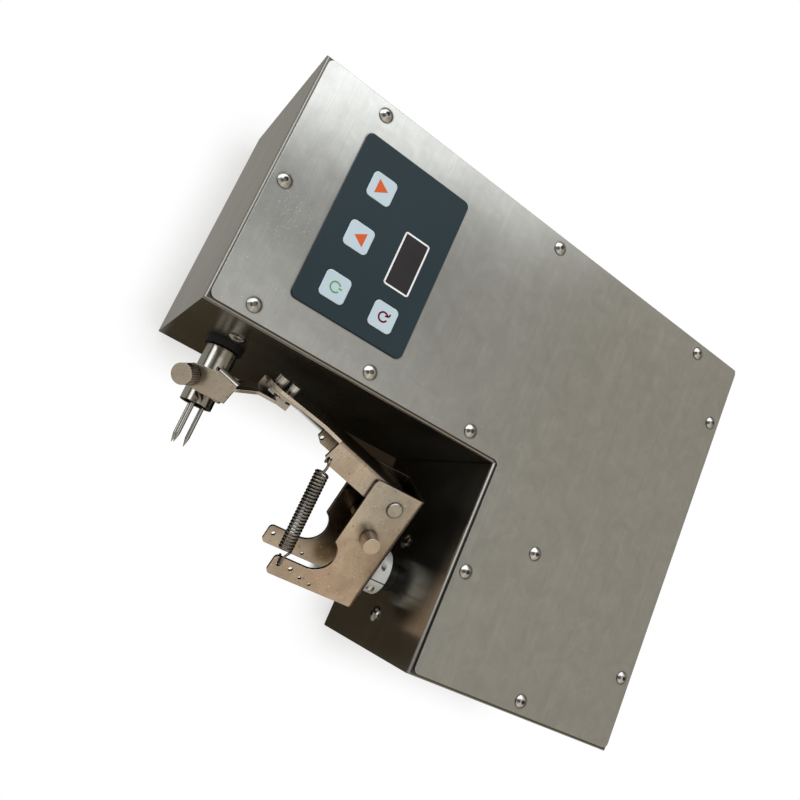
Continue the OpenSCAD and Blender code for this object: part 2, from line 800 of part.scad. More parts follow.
function motor_bolts() = [for (x = [-0.5, 0.5], y = [-0.5, 0.5]) motor_bolt * [x, y]];

module spindle_motor() color("#2b2c30") on_motor(motor_plate_x) difference() {
    union() {
        translate([0, 0, -motor_l]) linear_extrude(motor_l)
            polygon(soften(rect(motor_w, motor_w), motor_corner_r));
        cylinder(h = motor_boss_h, d = motor_boss_d);
    }
    translate([0, 0, -motor_l / 3 - cut]) cylinder(h = motor_l, d = motor_shaft_d + running_play);
    drill(motor_bolts(), small_d + screw_play, -motor_hole_l, motor_hole_l + cut);
}

module motor_bracket() color("#8d8f92") {
    on_motor(motor_plate_x) difference() {
        translate([-motor_w / 2, -motor_w / 2, 0]) cube([motor_w, motor_w, motor_plate_t]);
        translate([0, 0, -cut]) cylinder(h = motor_plate_t + 2 * cut, d = motor_boss_d + 2 * side_play);
        drill(motor_bolts(), small_d + screw_play, -cut, motor_plate_t + 2 * cut);
    }
    in_case() translate([motor_plate_x, spindle_y + belt_c - motor_w / 2, base_t]) {
        cube([motor_plate_t, motor_w, axis_h - base_t - motor_w / 2 + 2 * cut]);
        translate([motor_plate_t - motor_foot_l, 0, 0]) cube([motor_foot_l, motor_w, motor_plate_t]);
    }
}

module motor_screws() color("#c4c1ba") on_motor(motor_plate_x + motor_plate_t)
    for (p = motor_bolts()) translate(p) 
        cap_screw(small_d, motor_plate_t + motor_grip, motor_screw_head_d, motor_screw_head_h);

// Swing drive

module swing_shaft() color("#b5aea2") on_swing(arm_y)
    cylinder(h = gear_y + gear_l + shaft_end - arm_y, d = journal_d);

module swing_gearmotor() color("#6f7378") on_swing(gear_y) difference() {
    union() {
        translate([-gear_w / 2, -gear_h / 2, 0]) cube([gear_w, gear_h, gear_l]);
        translate([-gear_w / 2 - gear_motor_l, gear_motor_drop, gear_l / 2]) rotate([0, 90, 0])
            cylinder(h = gear_motor_l + cut, d = gear_motor_d);
    }
    translate([0, 0, -cut]) cylinder(h = gear_l + 2 * cut, d = journal_d + running_play);
}

module gearmotor_stand() color("#8d8f92") in_case() translate([swing_x - gear_w / 2, gear_y, base_t]) {
    stand_h = axis_h - gear_h / 2 - base_t;
    translate([0, 0, stand_h - stand_t]) cube([gear_w, gear_l, stand_t]);
    for (x = [0, gear_w - stand_t]) translate([x, 0, 0]) cube([stand_t, gear_l, stand_h]);
}

// One half of the clamp collar, on the side where the arm's x has the given sign
module collar_half(side) difference() {
    rotate([-90, 0, 0]) cylinder(h = collar_t, d = collar_d);
    translate([0, -cut, 0]) rotate([-90, 0, 0]) cylinder(h = collar_t + 2 * cut, d = journal_d + fit_play);
    translate([side > 0 ? -collar_d : -collar_split / 2, -cut, -collar_d])
        cube([collar_d + collar_split / 2, collar_t + 2 * cut, 2 * collar_d]);
    for (n = [-1, 1]) translate([-collar_d, collar_t / 2, n * collar_screw_r]) rotate([0, 90, 0])
        cylinder(h = 2 * collar_d, d = small_d + screw_play);
    for (n = [-1, 1]) translate([collar_head_a, collar_t / 2, n * collar_screw_r]) rotate([0, 90, 0])
        cylinder(h = collar_d, d = collar_head_d + screw_play);
    if (side < 0) for (n = [-1, 1])
        translate([-bracket_screw_a, -cut, n * bracket_screw_n]) rotate([-90, 0, 0])
            cylinder(h = bracket_hole + cut, d = small_d + screw_play);
}

module clamp_collar() color("#c9ccce") in_arm() collar_half(-1);
module clamp_cap() color("#c9ccce") in_arm() collar_half(1);
module collar_screws() color("#8c8c8a") in_arm() for (n = [-1, 1])
    translate([collar_head_a, collar_t / 2, n * collar_screw_r]) rotate([0, 90, 0])
        cap_screw(small_d, collar_screw_l, collar_head_d, collar_head_h);

// Swing bracket

module bracket_outline() difference() {
    polygon(concat(
        [[-plate_up, 0], [plate_down, 0]],
        arc([plate_down - arm_corner_r, arm_corner_r - arm_reach], arm_corner_r, 0, -90),
        arc([arm_a + arm_corner_r, arm_corner_r - arm_reach], arm_corner_r, -90, -180),
        [[arm_a, -bite_y], [-bite_a, -bite_y], [-bite_a, -plate_d]],
        arc([plate_corner_r - plate_up, plate_corner_r - plate_d], plate_corner_r, 270, 180)
    ));
    translate([-bite_a, -bite_y]) circle(bite_r);
    translate([-pivot_a, -pivot_y]) circle(d = pivot_d + fit_play);
    translate([-stop_a, -stop_y]) circle(d = pivot_d + fit_play);
    translate([hook_a, -hook_y]) circle(d = hook_d);
    translate([hook_a, -spare_hole_y]) circle(d = hook_d);
    for (p = dots) translate([p[0], -p[1]]) circle(d = dot_d);
}

module swing_bracket() color("#a89a86") in_arm() difference() {
    intersection() {
        translate([0, 0, -bracket_h - cut]) linear_extrude(bracket_w + 2 * cut) bracket_outline();
        along_x(-plate_up - cut, plate_up + plate_down + 2 * cut) mirror([1, 0])
            polygon(channel_profile(arm_reach + cut, bracket_w, plate_t, bracket_bend_r));
    }
    rotate([90, 0, 0]) translate([0, 0, -cut]) cylinder(h = plate_t + 2 * cut, d = journal_d + fit_play);
    for (n = [-1, 1]) translate([-bracket_screw_a, cut, n * bracket_screw_n]) rotate([90, 0, 0])
        cylinder(h = plate_t + 2 * cut, d = small_d + screw_play);
}

module bracket_screws() color("#d8d6d0") in_arm() for (n = [-1, 1])
    translate([-bracket_screw_a, -plate_t, n * bracket_screw_n]) rotate([90, 0, 0])
        button_screw(small_d, plate_t + bracket_grip);

module pivot_pin() color("#b9b1a4") in_arm() translate([-pivot_a, -pivot_y, 0]) {
    translate([0, 0, -bracket_h]) cylinder(h = bracket_w + pivot_proud, d = pivot_d);
    translate([0, 0, -bracket_h - pivot_head_h]) cylinder(h = pivot_head_h, d = pivot_head_d);
}

module stop_pin() color("#b9b1a4") in_arm() translate([-stop_a, -stop_y, 0]) {
    translate([0, 0, -bracket_h - pivot_proud]) cylinder(h = bracket_w + pivot_proud, d = pivot_d);
    translate([0, 0, bracket_h]) cylinder(h = stop_proud, d = stop_head_d);
}

// Tension spring, one wire from hook to hook

// A point at distance x along the spring and at the given angle round it
function coil_point(x, angle) =
    spring_from + spring_axis * x + coil_r * (spring_side * cos(angle) + spring_up * sin(angle));

// A point on an end hook whose centre lies at distance x along the spring
function hook_point(x, angle) =
    spring_from + spring_axis * (x + coil_r * cos(angle)) + spring_up * coil_r * sin(angle);

wire_path = concat(
    [for (k = [0 : hook_steps]) hook_point(coil_r, 180 + hook_open - (90 + hook_open) * k / hook_steps)],
    [for (k = [1 : turn_steps])
        let (t = k / turn_steps) coil_point(coil_r + hook_reach * (2 * t - t * t), 90 + 90 * t * t)],
    [for (k = [1 : spring_turns * curl_rings])
        let (t = k / (spring_turns * curl_rings))
            coil_point(coil_r + hook_reach + coil_l * t, 180 + 360 * spring_turns * t)],
    [for (k = [1 : turn_steps])
        let (t = k / turn_steps)
            coil_point(coil_r + hook_reach + coil_l + hook_reach * t * t,
                180 + 360 * spring_turns + 90 * (2 * t - t * t))],
    [for (k = [1 : hook_steps])
        hook_point(norm(spring_run) - coil_r, 90 - (90 + hook_open) * k / hook_steps)]
);
ring_n = len(wire_path);

function wire_way(i) =
    let (d = wire_path[min(i + 1, ring_n - 1)] - wire_path[max(i - 1, 0)]) d / norm(d);

// A direction across the wire, carried on from the one before it
function across(v, way) = let (w = v - way * (v * way)) w / norm(w);

wire_across = [
    for (i = 0, v = across(spring_side, wire_way(0)); i < ring_n; i = i + 1,
        v = i < ring_n ? across(v, wire_way(i)) : v) v
];

wire_points = [
    for (i = [0 : ring_n - 1]) for (k = [0 : wire_sides - 1])
        let (a = 360 * k / wire_sides, v = wire_across[i])
            wire_path[i] + wire_d / 2 * (v * cos(a) + cross(wire_way(i), v) * sin(a))
];

wire_faces = concat(
    [for (k = [1 : wire_sides - 2]) [0, k, k + 1]],
    [for (i = [0 : ring_n - 2]) for (k = [0 : wire_sides - 1])
        let (a = i * wire_sides + k, b = i * wire_sides + (k + 1) % wire_sides)
            [a, a + wire_sides, b + wire_sides]],
    [for (i = [0 : ring_n - 2]) for (k = [0 : wire_sides - 1])
        let (a = i * wire_sides + k, b = i * wire_sides + (k + 1) % wire_sides)
            [a, b + wire_sides, b]],
    [for (k = [1 : wire_sides - 2])
        let (e = (ring_n - 1) * wire_sides) [e, e + k + 1, e + k]]
);

spring_gap = min([
    for (i = [0 : ring_n - 1]) for (j = [i + curl_rings - 2 : 1 : ring_n - 1])
        norm(wire_path[i] - wire_path[j])
]) - wire_d;

module tension_spring() {
    echo(least_gap_in_the_spring = spring_gap);
    color("#5d564c") in_arm() polyhedron(wire_points, wire_faces);
}

// Blade lever

module lever_outline() difference() {
    union() {
        translate([web_p, -channel_l]) square([flange_w, channel_l]);
        translate([web_p, -cut]) square([-web_p, lever_rear + cut]);
        circle(lever_eye_r);
        polygon([[0, 0], stop_reach * [cos(stop_face), sin(stop_face)],
            stop_reach * [cos(stop_face - stop_span), sin(stop_face - stop_span)]]);
    }
    translate([edge_p, -channel_l]) polygon([[-end_chamfer[0], 0], [cut, -cut], [0, end_chamfer[1]]]);
    circle(d = pivot_d + 2 * running_play);
    translate(lever_hook) circle(d = hook_d);
}

module lever_arm() color("#a89a86") difference() {
    union() {
        in_lever() intersection() {
            translate([0, 0, -lever_h - cut]) linear_extrude(2 * lever_h + 2 * cut) lever_outline();
            translate([web_p, lever_eye_r + cut, 0]) rotate([90, 0, 0])
                linear_extrude(channel_l + 2 * lever_eye_r)
                    polygon(channel_profile(2 * stop_reach, 2 * lever_h, lever_t, lever_bend_r));
        }
        in_lever() along_x(web_p, lever_t) polygon([
            [-channel_l + cut, lever_h - lever_bend_r], [-channel_l, lever_h], [-bend_q, strip_bend_h],
            [-bend_q, -strip_bend_h], [-channel_l, -lever_h], [-channel_l + cut, lever_bend_r - lever_h]
        ]);
        in_strip() along_x(-lever_t / 2, lever_t) strip_outline();
    }
    in_strip() for (t = blade_screw_t) translate([-lever_t, t, 0]) rotate([0, 90, 0])
        cylinder(h = 2 * lever_t, d = blade_hole_d);
}

module strip_outline() {
    polygon([
        [fit_play, strip_bend_h], [strip_w / 2 - strip_l, strip_w / 2],
        [strip_w / 2 - strip_l, -strip_w / 2], [fit_play, -strip_bend_h]
    ]);
    translate([strip_w / 2 - strip_l, 0]) circle(d = strip_w);
}

// Blade end

module blade_bracket() color("#a89a86") difference() {
    union() {
        in_strip() along_x(bracket_s, holder_t) {
            translate([tab_w / 2 - strip_l, leg_n]) square([strip_l - tab_w / 2 + tab_end, tab_w]);
            translate([tab_w / 2 - strip_l, 0]) circle(d = tab_w);
        }
        in_strip() translate([bracket_s, leg_end, leg_n])
            cube([leg_s - bracket_s, tab_end - leg_end, holder_t]);
        difference() {
            in_strip() translate([0, 0, leg_n]) linear_extrude(arm_top - leg_n)
                polygon(ribbon(arm_path, holder_t));
            in_holder() translate([-holder_room / 2, -holder_room, -holder_t / 2])
                cube([holder_room, holder_room, holder_room / 2]);
        }
        in_holder() translate([0, 0, -holder_t]) linear_extrude(holder_t) {
            polygon(holder_points);
            translate(thumb_at) circle(thumb_eye_r);
        }
    }
    in_strip() for (t = blade_screw_t) translate([0, t, 0]) rotate([0, 90, 0])
        cylinder(h = bracket_s + holder_t + cut, d = blade_hole_d);
    in_holder() translate([thumb_at[0], thumb_at[1], -holder_t - cut])
        cylinder(h = holder_t + 2 * cut, d = screw_d + 2 * fit_play);
}

module on_blade_screws(s) in_strip() for (t = blade_screw_t)
    translate([s, t, 0]) rotate([0, -90, 0]) children();

module blade_screws() color("#c9c4ba") on_blade_screws(-lever_t / 2 - washer_t)
    cap_screw(screw_d, washer_t + lever_t + holder_t + nut_h, cap_head_d, cap_head_h);

module blade_washers() color("#bdb8ae") on_blade_screws(-lever_t / 2) difference() {
    cylinder(h = washer_t, d = washer_d);
    translate([0, 0, -cut]) cylinder(h = washer_t + 2 * cut, d = blade_hole_d);
}

module blade_nuts() color("#bdb8ae") on_blade_screws(bracket_s + holder_t + nut_h) difference() {
    cylinder(h = nut_h, d = nut_af / cos(30), $fn = 6);
    translate([0, 0, -cut]) cylinder(h = nut_h + 2 * cut, d = blade_hole_d);
}

module blade_carrier() color("#8f887d") in_holder() translate([0, 0, -holder_t]) difference() {
    union() {
        translate([0, 0, -carrier_t]) linear_extrude(carrier_t) polygon(carrier_points);
        translate([lug_s, lug_from, -carrier_t - blade_h]) cube([lug_w, lug_to - lug_from, blade_h + cut]);
    }
    translate([thumb_at[0], thumb_at[1], -carrier_t - cut])
        cylinder(h = carrier_t + 2 * cut, d = screw_d + 2 * fit_play);
}

module peeler_blade() color("#d5d5d2") in_holder() translate([0, 0, -holder_t - carrier_t - blade_h])
    linear_extrude(blade_h) polygon([
        [lug_s + lug_w, lug_from], [lug_s + lug_w + blade_t, lug_from], blade_edge, [lug_s + lug_w, lug_to]
    ]);

module thumb_screw() color("#b8ada0") in_holder() translate([thumb_at[0], thumb_at[1], thumb_lift]) {
    difference() {
        cylinder(h = thumb_h, d = thumb_d);
        for (k = [0 : knurl_n - 1]) rotate(360 * k / knurl_n)
            translate([thumb_d / 2 + knurl_deep, 0, cut]) rotate(45)
                translate([-knurl_deep * 1.4, -knurl_deep * 1.4, 0])
                    cube([knurl_deep * 2.8, knurl_deep * 2.8, thumb_h - 2 * cut]);
    }
    translate([0, 0, -thumb_thread_l]) cylinder(h = thumb_thread_l + cut, d = screw_d);
}

// Power

module in_inlet() in_case() translate([inlet_x, case_l, inlet_z]) children();

module power_inlet() color("#1f1f22") in_inlet() difference() {
    union() {
        translate([-inlet_w / 2, -inlet_d, -inlet_h / 2]) cube([inlet_w, inlet_d, inlet_h]);
        translate([-inlet_w / 2 - inlet_rim, 0, -inlet_h / 2 - inlet_rim])
            cube([inlet_w + 2 * inlet_rim, inlet_lip, inlet_h + 2 * inlet_rim]);
    }
    difference() {
        translate([inlet_wall - inlet_w / 2, inlet_wall * 2 - inlet_d, inlet_wall - inlet_h / 2])
            cube([inlet_w - 2 * inlet_wall, inlet_d, inlet_h - 2 * inlet_wall]);
        for (p = inlet_pins) translate([p[0] - inlet_pin[0] / 2, -inlet_d, p[1] - inlet_pin[1] / 2])
            cube([inlet_pin[0], inlet_d - inlet_pin_back, inlet_pin[1]]);
    }
}

module power_supply() color("#b4b4b0") in_case() translate([psu_x, wall_y + psu_front, base_t])
    cube([psu_w, psu_l, psu_h]);

housing_shell();
base_plate();
top_cover();
cover_screws();
cover_post();
base_screws();
feet();
foot_screws();
keypad_overlay();
display_window();
display_module();
control_board();
key_switches();
board_standoffs();
board_screws();
spindle_ring();
spindle_block();
spindle_bearings();
spindle_wall_screws();
spindle_motor();
motor_bracket();
motor_screws();
drive_belt();
swing_ring();
swing_block();
swing_bearings();
swing_wall_screws();
swing_gearmotor();
gearmotor_stand();
power_inlet();
power_supply();
up_key();
down_key();
start_key();
reset_key();
spindle_shaft();
fork_head();
fork_pins();
spindle_pulley();
motor_pulley();
motor_shaft();
swing_shaft();
clamp_collar();
clamp_cap();
collar_screws();
swing_bracket();
bracket_screws();
pivot_pin();
stop_pin();
tension_spring();
lever_arm();
blade_bracket();
blade_screws();
blade_washers();
blade_nuts();
blade_carrier();
peeler_blade();
thumb_screw();
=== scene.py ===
import math

import bpy
from mathutils import Matrix, Vector


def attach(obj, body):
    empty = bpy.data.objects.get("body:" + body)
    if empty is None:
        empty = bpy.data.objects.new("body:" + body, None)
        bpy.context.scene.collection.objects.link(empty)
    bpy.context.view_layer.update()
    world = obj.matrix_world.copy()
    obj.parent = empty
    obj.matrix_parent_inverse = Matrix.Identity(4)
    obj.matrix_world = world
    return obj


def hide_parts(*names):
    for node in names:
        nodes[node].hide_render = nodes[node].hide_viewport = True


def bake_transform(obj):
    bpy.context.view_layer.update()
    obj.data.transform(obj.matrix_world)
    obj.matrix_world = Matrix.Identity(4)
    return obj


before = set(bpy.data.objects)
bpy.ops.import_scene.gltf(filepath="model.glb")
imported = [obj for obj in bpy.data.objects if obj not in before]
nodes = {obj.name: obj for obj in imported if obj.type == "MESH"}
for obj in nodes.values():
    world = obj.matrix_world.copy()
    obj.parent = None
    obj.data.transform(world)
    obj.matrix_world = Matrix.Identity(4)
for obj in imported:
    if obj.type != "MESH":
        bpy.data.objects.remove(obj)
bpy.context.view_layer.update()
scene = bpy.context.scene
MM = 0.001

# Sizes that part.scad also holds, in millimetres and degrees
CASE_W, CASE_L, CASE_H, FOOT_H = 320.0, 400.0, 150.0, 10.0
COLUMN_W, WALL_Y, INLET_LIP, COVER_T = 171.0, 217.0, 2.0, 1.5
PANEL_Y, OVERLAY_T = 82.5, 1.5
KEY_SHIFT, KEY_PITCH, KEY_ROW, KEY_PROUD = 4.7, 35.5, 17.7, 0.5
WINDOW_W, WINDOW_L, WINDOW_SHIFT = 37.5, 18.5, 1.8
SWING_DX, SWING_RING_L, HUB_GAP, COLLAR_T, AXIS_H = 95.0, 10.0, 0.5, 12.5, 75.0
PARK_ANGLE, PIVOT_A, PIVOT_Y, PIVOT_PROUD = 26.4, 55.2, 17.3, 0.7
BRACKET_H, PLATE_T, HOOK_A, HOOK_Y = 21.5, 2.5, 15.5, 65.5
LEVER_T, LEVER_GAP, LEVER_LEAN, FLANGE_W, CHANNEL_L = 2.5, 0.4, 13.8, 18.0, 62.0
WEB_SET, HOOK_EDGE, HOOK_END = 1.4, 3.7, 3.1
COIL_R, SPRING_TURNS, HOOK_REACH, HOOK_OPEN = 4.2, 24.5, 7.0, 100.0
BEND_Q, STRIP_BEND, ARM_TOP = 76.0, 5.3, 8.7
HOLDER_S, HOLDER_T, HOLDER_TILT, FOLD_T = 0.4, 2.0, 30.0, -58.0


# Points of the part's frames

web_p = -FLANGE_W / 2 - WEB_SET
lever_h = BRACKET_H - PLATE_T - LEVER_GAP


def turned(x, y, degrees):
    """A point of a plane, turned about the origin."""
    c, s = math.cos(math.radians(degrees)), math.sin(math.radians(degrees))
    return x * c - y * s, x * s + y * c


def case_point(x, y, z):
    """A point given from the case's front left bottom corner in mm, in the part's frame in metres."""
    return Vector(((x - CASE_W / 2) * MM, (y - (CASE_L + INLET_LIP) / 2) * MM, (z + FOOT_H) * MM))


def arm_point(v):
    """A point of the swing arm's frame in mm, in the part's frame in metres."""
    x, z = turned(v[0], v[2], -PARK_ANGLE)
    arm_y = WALL_Y - SWING_RING_L - HUB_GAP - COLLAR_T
    return case_point(COLUMN_W + SWING_DX + x, arm_y + v[1], AXIS_H + z)


def lever_point(p, q, z):
    """A point of the lever's frame, in the swing arm's frame, both in mm."""
    a, y = turned(p, q, -LEVER_LEAN)
    return a - PIVOT_A, y - PIVOT_Y, z


def holder_point(s, t, z):
    """A point of the holder plate's frame in mm, in the part's frame in metres."""
    t, z = turned(t, z, HOLDER_TILT)
    p, q = turned(s + HOLDER_S, t + FOLD_T, STRIP_BEND)
    return arm_point(lever_point(web_p + LEVER_T / 2 + p, q - BEND_Q, z + ARM_TOP))


# Camera at the photograph's angle

CAM_RIGHT = (-0.39066579, 0.79703928, 0.46055252)
CAM_UP = (-0.89835179, -0.43927299, -0.00181845)
CAM_BACK = (0.20085891, -0.41444859, 0.88763059)
CAM_AT = (0.125206, -0.249604, 0.587639)
SENSOR_W, LENS, SHIFT_X, SHIFT_Y, CLIP_START = 36, 34.144, -0.00914, 0.05440, 0.01

cam_data = bpy.data.cameras.new("photo_camera")
cam = bpy.data.objects.new("photo_camera", cam_data)
scene.collection.objects.link(cam)
scene.camera = cam
cam.matrix_world = Matrix((*zip(CAM_RIGHT, CAM_UP, CAM_BACK, CAM_AT), (0, 0, 0, 1)))
cam_data.sensor_width = SENSOR_W
cam_data.lens = LENS
cam_data.shift_x = SHIFT_X
cam_data.shift_y = SHIFT_Y
cam_data.clip_start = CLIP_START


# Material helpers

# Scale across the strokes, scale along them and roughness
FINE_LINES, BROAD_STREAKS = (900.0, 14.0, 0.6), (300.0, 4.0, 0.55)
# How much a face looks to the side where the strokes turn
SIDE_FROM, SIDE_TO = 0.5, 0.9
# Likeness of the rounded and the true normal, on an edge and off it
EDGE_BENT, EDGE_FLAT = 0.80, 0.97
# Distances from a cell's middle at which a grain is full and gone
SPILL_GRAIN, GRIT_GRAIN = (0.12, 0.20), (0.035, 0.075)
# Levels of noise between which a patch of grit comes up
GRIT_PATCH = (0.52, 0.62)
RAY_SAMPLES = 6


class Nodes:
    """Short ways to add and join the nodes of one shader tree."""

    def __init__(self, tree, source):
        self.tree = tree
        self.coord = self.add("ShaderNodeTexCoord").outputs[source]

    def add(self, kind, **values):
        """A new node with some of its properties set."""
        node = self.tree.nodes.new(kind)
        for key, value in values.items():
            setattr(node, key, value)
        return node

    def join(self, a, b):
        """Links an output to an input."""
        self.tree.links.new(a, b)

    def feed(self, socket, value):
        """Links a socket, or sets it to a number or a colour."""
        if hasattr(value, "links"):
            self.join(value, socket)
        elif isinstance(value, (int, float)):
            socket.default_value = value
        else:
            socket.default_value = (*value, 1) if len(value) == 3 else value

    def math(self, operation, a, b):
        """The result of one operation on two values."""
        node = self.add("ShaderNodeMath", operation=operation)
        self.feed(node.inputs[0], a)
        self.feed(node.inputs[1], b)
        return node.outputs["Value"]

    def all_of(self, first, *others):
        """The product of masks."""
        for mask in others:
            first = self.math("MULTIPLY", first, mask)
        return first

    def any_of(self, first, *others):
        """The largest of masks."""
        for mask in others:
            first = self.math("MAXIMUM", first, mask)
        return first

    def parts(self, vector):
        """The three parts of a vector."""
        node = self.add("ShaderNodeSeparateXYZ")
        self.join(vector, node.inputs["Vector"])
        return node.outputs

    def noise(self, scale, detail=3, rough=0.5, warp=0.0):
        """Noise with one scale, or with one for each axis."""
        place = self.add("ShaderNodeMapping")
        place.inputs["Scale"].default_value = scale if isinstance(scale, tuple) else (scale,) * 3
        self.join(self.coord, place.inputs["Vector"])
        tex = self.add("ShaderNodeTexNoise")
        tex.inputs["Scale"].default_value = 1
        tex.inputs["Detail"].default_value = detail
        tex.inputs["Roughness"].default_value = rough
        tex.inputs["Distortion"].default_value = warp
        self.join(place.outputs["Vector"], tex.inputs["Vector"])
        return tex.outputs["Fac"]

    def between(self, value, low, high, from_low=0.3, from_high=0.7, kind="LINEAR"):
        """A value that goes from low to high while another goes from from_low to from_high."""
        node = self.add("ShaderNodeMapRange", interpolation_type=kind)
        node.inputs["From Min"].default_value = from_low
        node.inputs["From Max"].default_value = from_high
        node.inputs["To Min"].default_value = low
        node.inputs["To Max"].default_value = high
        self.join(value, node.inputs["Value"])
        return node.outputs["Result"]

    def fade(self, value, low, high, from_low, from_high):
        """The same as between, with soft ends."""
        return self.between(value, low, high, from_low, from_high, "SMOOTHSTEP")

    def rise(self, value, start, end):
        """A mask that is 0 before start and 1 past end."""
        return self.fade(value, 0, 1, start, end)

    def fall(self, value, start, end):
        """A mask that is 1 before start and 0 past end."""
        return self.fade(value, 1, 0, start, end)

    def mix(self, fac, a, b, mode="MIX"):
        """A colour between two others."""
        node = self.add("ShaderNodeMix", data_type="RGBA", blend_type=mode)
        for socket, value in ((node.inputs[0], fac), (node.inputs[6], a), (node.inputs[7], b)):
            self.feed(socket, value)
        return node.outputs[2]


class Shader(Nodes):
    """A material, with its surface shader and the same short ways."""

    def __init__(self, name):
        self.mat = bpy.data.materials.new(name)
        self.mat.use_nodes = True
        super().__init__(self.mat.node_tree, "Object")
        self.bsdf = self.tree.nodes["Principled BSDF"]
        self.true_normal = self.add("ShaderNodeNewGeometry").outputs["Normal"]

    def soft_edge(self, radius):
        """The normal over rounded edges, and a mask that is 1 on those edges."""
        node = self.add("ShaderNodeBevel", samples=RAY_SAMPLES)
        node.inputs["Radius"].default_value = radius
        turn = self.add("ShaderNodeVectorMath", operation="DOT_PRODUCT")
        self.join(node.outputs["Normal"], turn.inputs[0])
        self.join(self.true_normal, turn.inputs[1])
        return node.outputs["Normal"], self.between(turn.outputs["Value"], 1, 0, EDGE_BENT, EDGE_FLAT)

    def bump(self, height, strength, distance, normal):
        """Fine relief on top of a normal."""
        node = self.add("ShaderNodeBump")
        node.inputs["Strength"].default_value = strength
        node.inputs["Distance"].default_value = distance
        self.join(height, node.inputs["Height"])
        self.join(normal, node.inputs["Normal"])
        self.join(node.outputs["Normal"], self.bsdf.inputs["Normal"])

    def strokes(self, along):
        """Fine lines and broader streaks along an axis. Those along X run along Y on faces square to X."""
        pair = []
        for across, lengthwise, rough in (FINE_LINES, BROAD_STREAKS):
            scale = [across] * 3
            if along is not None:
                scale[along] = lengthwise
            value = self.noise(tuple(scale), rough=rough)
            if along == 0:
                other = self.noise((across, lengthwise, across), rough=rough)
                sideways = self.math("ABSOLUTE", self.parts(self.true_normal)[0], 0.0)
                value = self.mix(self.between(sideways, 0, 1, SIDE_FROM, SIDE_TO), value, other)
            pair.append(value)
        return pair

    def near(self, at, inner, outer):
        """A mask that is 1 within one distance of a point and 0 past another."""
        away = self.add("ShaderNodeVectorMath", operation="DISTANCE")
        self.join(self.coord, away.inputs[0])
        away.inputs[1].default_value = at
        return self.fall(away.outputs["Value"], inner, outer)

    def grains(self, scale, full, gone):
        """A mask of small grains, one in the middle of each cell."""
        cells = self.add("ShaderNodeTexVoronoi")
        cells.inputs["Scale"].default_value = scale
        self.join(self.coord, cells.inputs["Vector"])
        return self.between(cells.outputs["Distance"], 1, 0, full, gone)

    def spill(self, scale, at, inner, outer):
        """A mask of fine grains spilled round a point."""
        return self.all_of(self.grains(scale, *SPILL_GRAIN), self.near(at, inner, outer))

    def grit(self, scale):
        """A mask of sparse tiny grains, gathered in loose patches."""
        patch = self.between(self.noise(22, detail=2), 0, 1, *GRIT_PATCH)
        return self.all_of(self.grains(scale, *GRIT_GRAIN), patch)

    def recess(self, distance, deep=0.40, clear=0.95):
        """A mask that is 1 deep in corners, sockets and gaps."""
        node = self.add("ShaderNodeAmbientOcclusion", samples=RAY_SAMPLES)
        node.inputs["Distance"].default_value = distance
        return self.between(node.outputs["AO"], 1, 0, deep, clear)

    def patch(self, tone, at, inner, outer, colour):
        """The tone, multiplied by a colour near a point: painted highlight above one, painted shade below.
        """
        return self.mix(self.near(at, inner, outer), tone, self.mix(1.0, tone, colour, "MULTIPLY"))

    def grain(self, way, amount):
        """Stretches the gloss across brushing that runs along a direction."""
        node = self.add("ShaderNodeVectorMath", operation="CROSS_PRODUCT")
        self.join(self.true_normal, node.inputs[0])
        node.inputs[1].default_value = way
        self.join(node.outputs["Vector"], self.bsdf.inputs["Tangent"])
        self.set(Anisotropic=amount)

    def set(self, **values):
        """Feeds inputs of the surface shader, named with _ for a space, and returns the material."""
        for name, value in values.items():
            self.feed(self.bsdf.inputs[name.replace("_", " ")], value)
        return self.mat


# Kinds of material, with lengths in metres

WHITE, BLACK = (1.0, 1.0, 1.0), (0.0, 0.0, 0.0)
# Colours of pits, and of painted shade in corners, hollows, the seam, the cover's rim and sockets
PIT_TONE, CORNER_SHADE_TONE, HOLLOW_SHADE_TONE = (0.12, 0.10, 0.08), (0.05, 0.042, 0.034), (0.07, 0.042, 0.024)
SEAM_SHADE_TONE, RIM_SHADE_TONE, SOCKET_SHADE_TONE = (0.06, 0.05, 0.04), (0.10, 0.085, 0.07), (0.04, 0.035, 0.03)
GRAIN_X, GRAIN_Y = (1.0, 0.04, 0.0), (0.04, 1.0, 0.0)
# Reach and strength of painted shade in corners, hollows, along the seam, on the cover's rim and in sockets
CORNER_REACH, CORNER_SHADE = 0.0016, 0.85
HOLLOW_SHADE_REACH, HOLLOW_SHADE_DEEP, HOLLOW_SHADE_CLEAR = 0.075, 0.24, 0.76
SEAM_H, SEAM_SHADE = 0.0008, 0.9
RIM_FROM, RIM_TO, RIM_SHADE = 0.0005, 0.0001, 0.55
SOCKET_REACH, SOCKET_DEEP, SOCKET_CLEAR = 0.003, 0.20, 0.42
POLISH_EDGE, POLISH_WEAR = 0.0003, 0.4
STAIN_SHADE, STAIN_SPOTS = 0.5, (0.5, 0.78)
BRIGHT_PITS, DARK_PITS = (0.66, 0.74), (0.27, 0.35)
# Strength and height of relief
LINE_BUMP, MARK_BUMP, GRAIN_BUMP = (0.12, 0.00004), (0.08, 0.00003), 0.25
# How much brighter metal gets in bright pits and on edges, and plastic on edges; edges are worn and carry a
# painted highlight
BARE_AND_HIGHLIGHT_GAIN, RUBBED_HIGHLIGHT_GAIN, RUBBED_HIGHLIGHT_LIFT = 1.35, 1.5, 0.01


